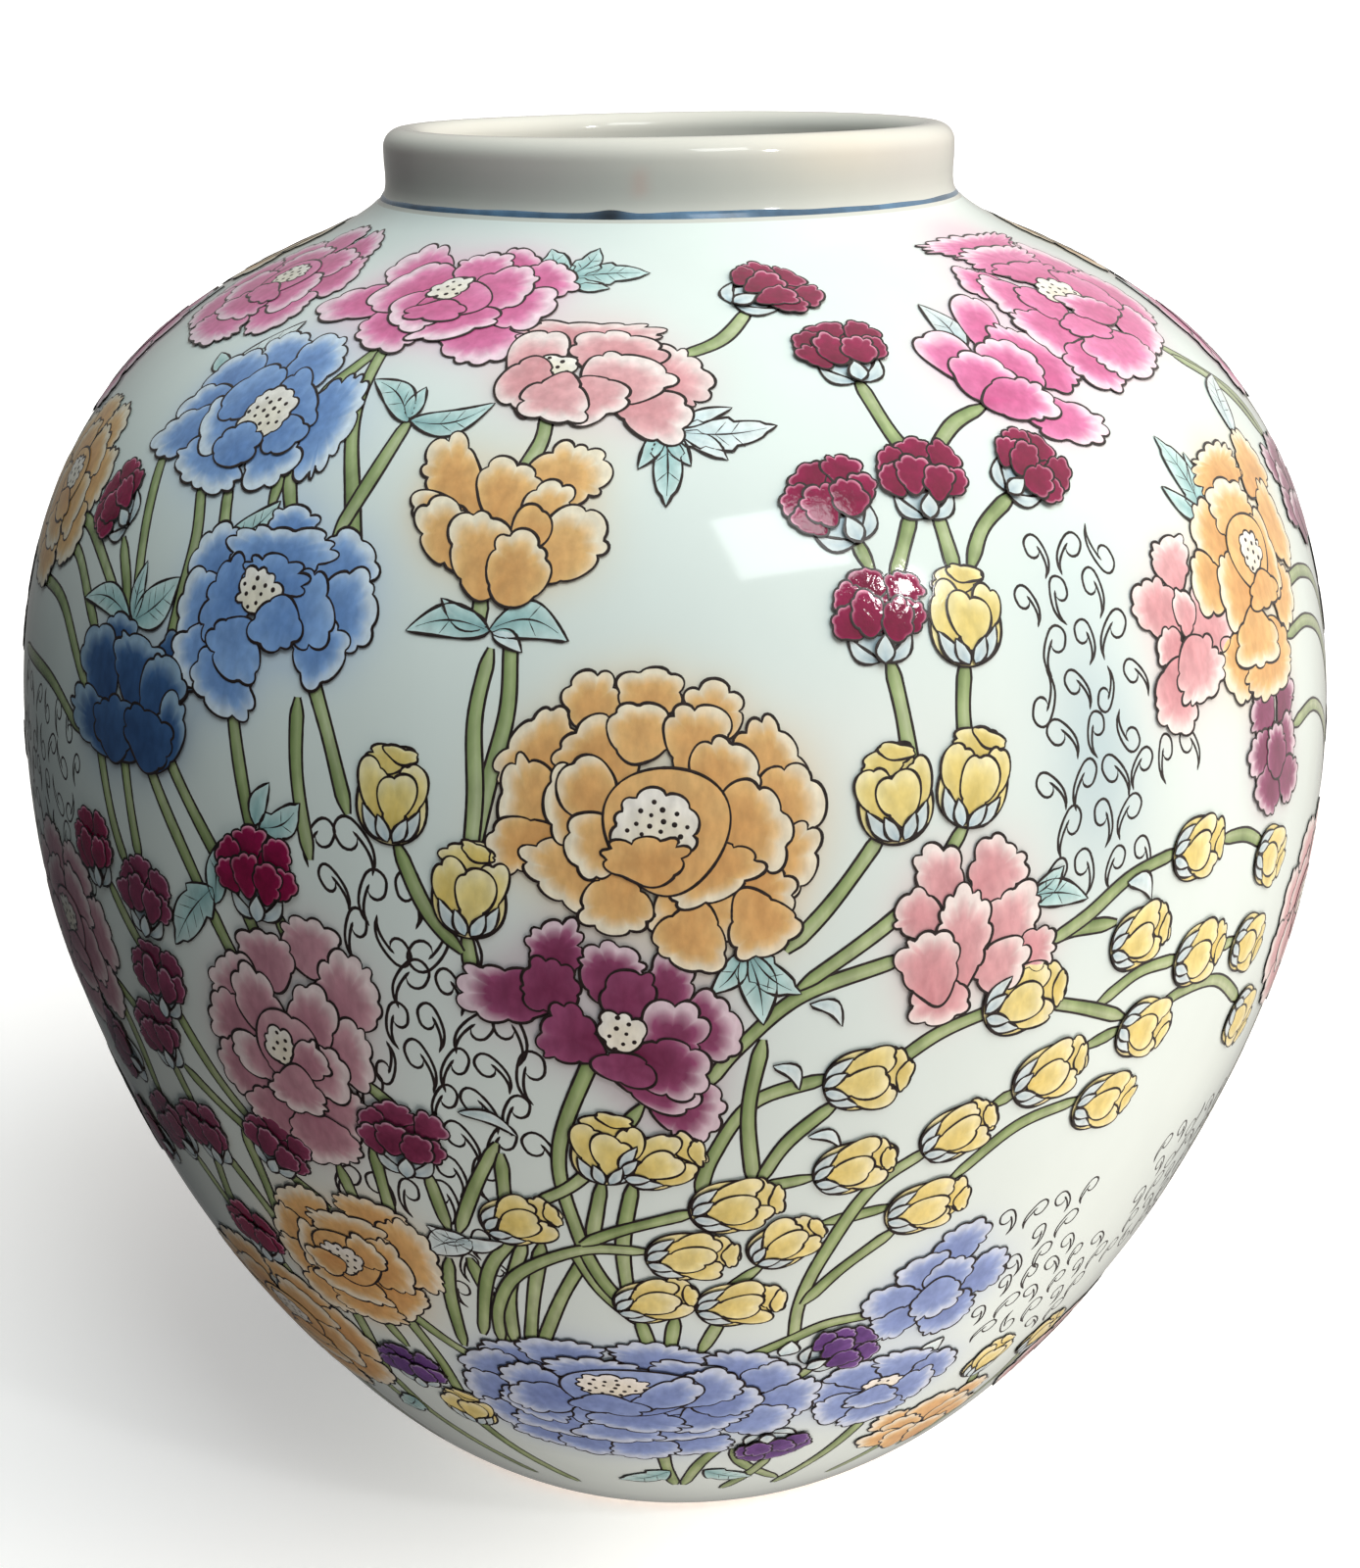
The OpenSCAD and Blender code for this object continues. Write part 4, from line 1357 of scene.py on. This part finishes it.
def wall(name, outer_climbs, inside, spots):
    """One thrown wall: up its glazed outside, over its rim and down its inside."""
    rows = [place(TURNS, climb, 0) for climb in outer_climbs]
    colours = [glaze_colour(TURNS, climb, spots) for climb in outer_climbs]
    rows += inside
    colours += [np.tile(INSIDE_WHITE, (len(TURNS), 1))] * len(inside)
    piece = ring_piece(name, rows, colours, GLAZE, "glaze")
    true_normals(piece, outer_climbs)
    return piece


def true_normals(piece, outer_climbs):
    """The outside is shaded by its true slope, so that the luted seam doesn't show."""
    mesh = piece.data
    normals = np.empty(len(mesh.loops) * 3)
    mesh.corner_normals.foreach_get("vector", normals)
    normals = normals.reshape(-1, 3)
    index = np.empty(len(mesh.loops), int)
    mesh.loops.foreach_get("vertex_index", index)
    outside = np.vstack([outward_normals(climb) for climb in outer_climbs])
    on_outside = (index.reshape(-1, 4) < len(outside)).all(axis=1)
    swap = np.repeat(on_outside, 4)
    normals[swap] = outside[index[swap]]
    mesh.normals_split_custom_set(normals.tolist())


def build_walls(spots):
    belly = float(np.interp(BELLY_Z, HEIGHT, CLIMB))
    lower = np.r_[GLAZE_EDGE, np.linspace(GLAZE_EDGE + 1, belly, 100)]
    upper = np.r_[np.linspace(belly, CLIMB[-1] - 2, 90), CLIMB[-1] - 1, CLIMB[-1]]
    low_inside = inner_rows(np.linspace(belly, FOOT_CLIMB + 4, 34))
    low_inside += [circle_row(r, z) for r, z in FLOOR_CORNER]
    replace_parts(wall("lower_wall_glazed", lower, low_inside, spots), "lower_wall")
    high_inside = inner_rows(np.linspace(CLIMB[-1], belly, 34))
    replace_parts(wall("upper_wall_glazed", upper, high_inside, spots), "upper_wall")


# ---------------------------------------------------------------- the collar


def collar_section():
    """Closed section of the collar, from the root of its outside up and over the lip."""
    lip = (COLLAR_R - MOUTH_R) / 2
    lip_z = COLLAR_Z - lip
    outside = [(54.6, SHOULDER_Z - 0.9), (53.9, SHOULDER_Z + 0.1), (53.1, SHOULDER_Z + 0.9)]
    outside += [(52.6, SHOULDER_Z + 1.9), (52.35, SHOULDER_Z + 3.2), (52.3, SHOULDER_Z + 5)]
    outside += [(COLLAR_R, SHOULDER_Z + 7)]
    over = []
    for t in np.linspace(0, math.pi, 22):
        over.append((COLLAR_R - lip + lip * math.cos(t), lip_z + lip * math.sin(t) ** 0.9))
    inside = [(MOUTH_R, SHOULDER_Z + z) for z in (7, 5, 3, 1)]
    inside += [(MOUTH_R + 0.4, SHOULDER_Z - 1.5), (MOUTH_R + 2, SHOULDER_Z - 4.2), (50, SHOULDER_Z - 4.5)]
    return outside + over + inside


def collar_wobble(z):
    """The turned collar is a little oval, and its lip isn't quite level."""
    a = np.radians(TURNS)
    height = np.clip((z - SHOULDER_Z) / (COLLAR_Z - SHOULDER_Z), 0, 1)
    out = -0.10 + 0.10 * np.sin(2 * a + 0.4) + 0.06 * np.sin(5 * a) * height
    up = height * (-0.22 + 0.16 * np.sin(a + 0.9) + 0.07 * np.sin(3 * a))
    return out, up


def turned_row(radius, z):
    out, up = collar_wobble(z)
    return around(TURNS, radius + out, z + up)


def collar_colour(z):
    """The collar's ground is darkened and greyed with painted shade; it is creamier at the lip, with one
    small pink flaw in front and painted warm light at the right.
    """
    # The ground is the wall's glaze, painted darker and greyer as shade.
    colour = np.tile((0.58, 0.60, 0.56), (len(TURNS), 1))
    flaw = 0.45 * soft_spot(TURNS, z, -5, COLLAR_Z - 7, 1.6, 1.4)[:, None]
    # Painted warm light on the collar's right side.
    painted_warm_light = 0.25 * soft_spot(TURNS, z, 33, COLLAR_Z - 3, 14, 5)[:, None]
    colour = blend(colour, (0.80, 0.76, 0.68), 0.35 * smooth((z - SHOULDER_Z - 5) / 8))
    colour = blend(colour, (0.66, 0.36, 0.30), flaw)
    # The warm tint at the right is painted light.
    return blend(colour, (0.84, 0.70, 0.52), painted_warm_light)


def build_collar():
    section = collar_section()
    rows = [turned_row(r, z) for r, z in section]
    colours = [collar_colour(z) for _, z in section]
    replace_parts(ring_piece("neck_collar_glazed", rows, colours, GLAZE, "glaze"), "neck_collar")


# Section of the painted line: place across its half width, and height above the glaze.
BLUE_LINE_SECTION = [(-1.1, -0.25), (-1.0, 0.05), (-0.4, 0.12), (0.4, 0.12), (1.0, 0.05), (1.1, -0.25)]


def build_blue_line():
    """A hand-held brush line in the corner under the collar, with one darker stop."""
    a = np.radians(TURNS)
    stop = soft_spot(TURNS, 0, -10, 0, 3.2, 1)
    width = 1.25 + 0.18 * np.sin(3 * a + 0.5) + 0.12 * np.sin(11 * a) + 0.08 * np.sin(23 * a + 1)
    width = width + 1.1 * stop
    middle = 0.75 + 0.15 * np.sin(2 * a + 2.0) + 0.10 * np.sin(7 * a)
    blue = np.array((0.07, 0.15, 0.25)) * (1 + 0.25 * np.sin(9 * a + 1))[:, None]
    blue = blue * (1 - stop[:, None] * 0.8)
    out, _ = collar_wobble(SHOULDER_Z)
    rows = []
    for across, rise in BLUE_LINE_SECTION:
        up = middle + across * width / 2
        corner = 53.55 - 0.62 * up + np.maximum(up - 1.0, 0) * 0.18
        rows.append(around(TURNS, corner + rise + out + 0.12, SHOULDER_Z + up))
    piece = ring_piece("neck_line_painted", rows, [blue] * len(rows), BLUE_LINE, "blue_line")
    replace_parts(piece, "neck_line")


# ---------------------------------------------------------------- the base and the foot


def dress(node, material):
    """Give a CAD node's object its material."""
    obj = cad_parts[node]
    obj.data.materials.clear()
    obj.data.materials.append(material)


# ---------------------------------------------------------------- studio


# The sweep, in metres round a middle in front of the jar: the radii of its level floor and of
# the edge that leads into its bend, where the bend starts, the bend's own radius, and its top.
SWEEP_FLOOR = 1.3
SWEEP_EDGE = 1.45
SWEEP_BEND_START = 1.55
SWEEP_BEND = 0.5
SWEEP_TOP = 2.4
SWEEP_MIDDLE_Y = -0.6
SWEEP_DROP = 0.0002
SWEEP_SIDES = 96


def sweep_section():
    """Radius and height of the sweep, from the edge of its level floor to its top."""
    section = [(SWEEP_FLOOR, 0), (SWEEP_EDGE, 0)]
    for t in np.linspace(0, math.pi / 2, 16):
        section.append((SWEEP_BEND_START + SWEEP_BEND * math.sin(t), SWEEP_BEND - SWEEP_BEND * math.cos(t)))
    return section + [(SWEEP_BEND_START + SWEEP_BEND, SWEEP_TOP)]


def sweep_mesh():
    section = sweep_section()
    angles = [2 * math.pi * k / SWEEP_SIDES for k in range(SWEEP_SIDES)]
    points = []
    for r, z in section:
        for a in angles:
            points.append((r * math.cos(a), r * math.sin(a) + SWEEP_MIDDLE_Y, z - SWEEP_DROP))
    quads = grid_quads(len(section), SWEEP_SIDES, True)[:, [0, 3, 2, 1]]
    faces = [tuple(range(SWEEP_SIDES))] + quads.tolist()
    mesh = bpy.data.meshes.new("sweep")
    mesh.from_pydata(points, [], faces)
    mesh.polygons.foreach_set("use_smooth", [True] * len(faces))
    return mesh


def build_sweep():
    """A pale floor that curves up all round the jar and the cameras."""
    material = clouded_material("pale_sweep", 0.9, 0, 3, 2, (0.90,) * 3, (0.93,) * 3)
    shader = material.node_tree.nodes["Principled BSDF"]
    shader.inputs["Emission Color"].default_value = (1, 1, 1, 1)
    shader.inputs["Emission Strength"].default_value = 0.3
    sweep = bpy.data.objects.new("sweep", sweep_mesh())
    sweep.data.materials.append(material)
    bpy.context.collection.objects.link(sweep)
    # The bounce light below stands in for what the sweep would throw back on to the jar.
    sweep.visible_diffuse = False
    sweep.visible_glossy = False
    sweep.visible_shadow = False


def area_light(name, position, target, size, power, colour):
    light = bpy.data.lights.new(name, "AREA")
    light.shape = "RECTANGLE"
    light.size, light.size_y = size
    light.energy = power
    light.color = colour
    lamp = bpy.data.objects.new(name, light)
    bpy.context.collection.objects.link(lamp)
    aim = Vector(target) - Vector(position)
    lamp.location = position
    lamp.rotation_euler = aim.to_track_quat("-Z", "Y").to_euler()
    return lamp


def build_world():
    """The room is bright at the upper right and dim at the left."""
    world = bpy.data.worlds.new("studio")
    bpy.context.scene.world = world
    world.use_nodes = True
    nodes, links = world.node_tree.nodes, world.node_tree.links
    where = nodes.new("ShaderNodeTexCoord")
    side = nodes.new("ShaderNodeVectorMath")
    side.operation = "DOT_PRODUCT"
    side.inputs[1].default_value = (0.42, 0.10, 0.30)
    shift = nodes.new("ShaderNodeMath")
    shift.operation = "ADD"
    shift.inputs[1].default_value = 0.5
    links.new(where.outputs["Generated"], side.inputs[0])
    links.new(side.outputs["Value"], shift.inputs[0])
    dim, bright = (0.2, (0.05, 0.055, 0.06)), (1.0, (1.0, 0.96, 0.90))
    colour = ramp_colour(nodes, links, shift.outputs["Value"], dim, bright)
    background = nodes["Background"]
    background.inputs["Strength"].default_value = 0.75
    links.new(colour, background.inputs["Color"])


# Name, place and aim in metres, sides, watts, colour, and whether the glaze mirrors it.
MIDDLE = (0, 0, 0.14)
LIGHTS = [
    ("key", (0.75, -0.12, 0.62), MIDDLE, (0.7, 0.7), 4.4, (1, 0.82, 0.69), False),
    ("top", (0.20, -0.30, 1.1), MIDDLE, (0.7, 0.5), 5.3, (0.88, 0.99, 1), False),
    ("window", (0.33, -0.75, 1.15), MIDDLE, (0.38, 0.34), 1.7, (0.94, 0.98, 1), True),
    ("glint", (0.60, -0.66, 0.80), MIDDLE, (0.06, 0.08), 1.3, (1, 1, 1), True),
    ("bounce", (0.24, -0.20, -0.30), (0, 0, 0.05), (0.7, 0.6), 4.2, (1, 0.87, 0.80), False),
    ("sweep_wash", (0, 0.45, 1.3), (0, 1.45, 1.0), (2.4, 0.6), 30, (1, 1, 1), True),
]


def build_lights():
    for name, position, target, size, power, colour, mirrored in LIGHTS:
        lamp = area_light(name, position, target, size, power, colour)
        lamp.visible_glossy = mirrored


# The photo's camera, in metres and degrees.
CAMERA_PLACE = (0.00084, -0.375, 0.2763)
CAMERA_TILT = 68.44
CAMERA_ROLL = -0.615
CAMERA_LENS = 44.4


def build_camera():
    camera = bpy.data.cameras.new("camera")
    camera.lens = CAMERA_LENS
    camera.sensor_width = 36
    camera.clip_start = 0.01
    viewer = bpy.data.objects.new("camera", camera)
    bpy.context.collection.objects.link(viewer)
    tilt = Matrix.Rotation(math.radians(CAMERA_TILT), 4, "X")
    roll = Matrix.Rotation(math.radians(CAMERA_ROLL), 4, "Z")
    viewer.matrix_world = Matrix.Translation(CAMERA_PLACE) @ tilt @ roll
    bpy.context.scene.camera = viewer
    bpy.context.scene.view_settings.view_transform = "Standard"


# ---------------------------------------------------------------- putting it together

# Name, middle, way round, least and greatest turn that it takes from the tables, enamels.
BOUQUETS = [
    Bouquet("", 0, 1, -90, 90, {}),
    Bouquet("right_back_", 127, 1, -50, 54.5, BACK_ENAMELS),
    Bouquet("left_back_", -127, -1, -50, 44.5, BACK_ENAMELS),
]

build_camera()
build_walls(bleeds(BOUQUETS))
build_collar()
build_blue_line()
dress("base_disc", INSIDE_GLAZE)
dress("foot_ring", BARE_FOOT)
for bouquet in BOUQUETS:
    bouquet.paint()
build_sweep()
build_world()
build_lights()
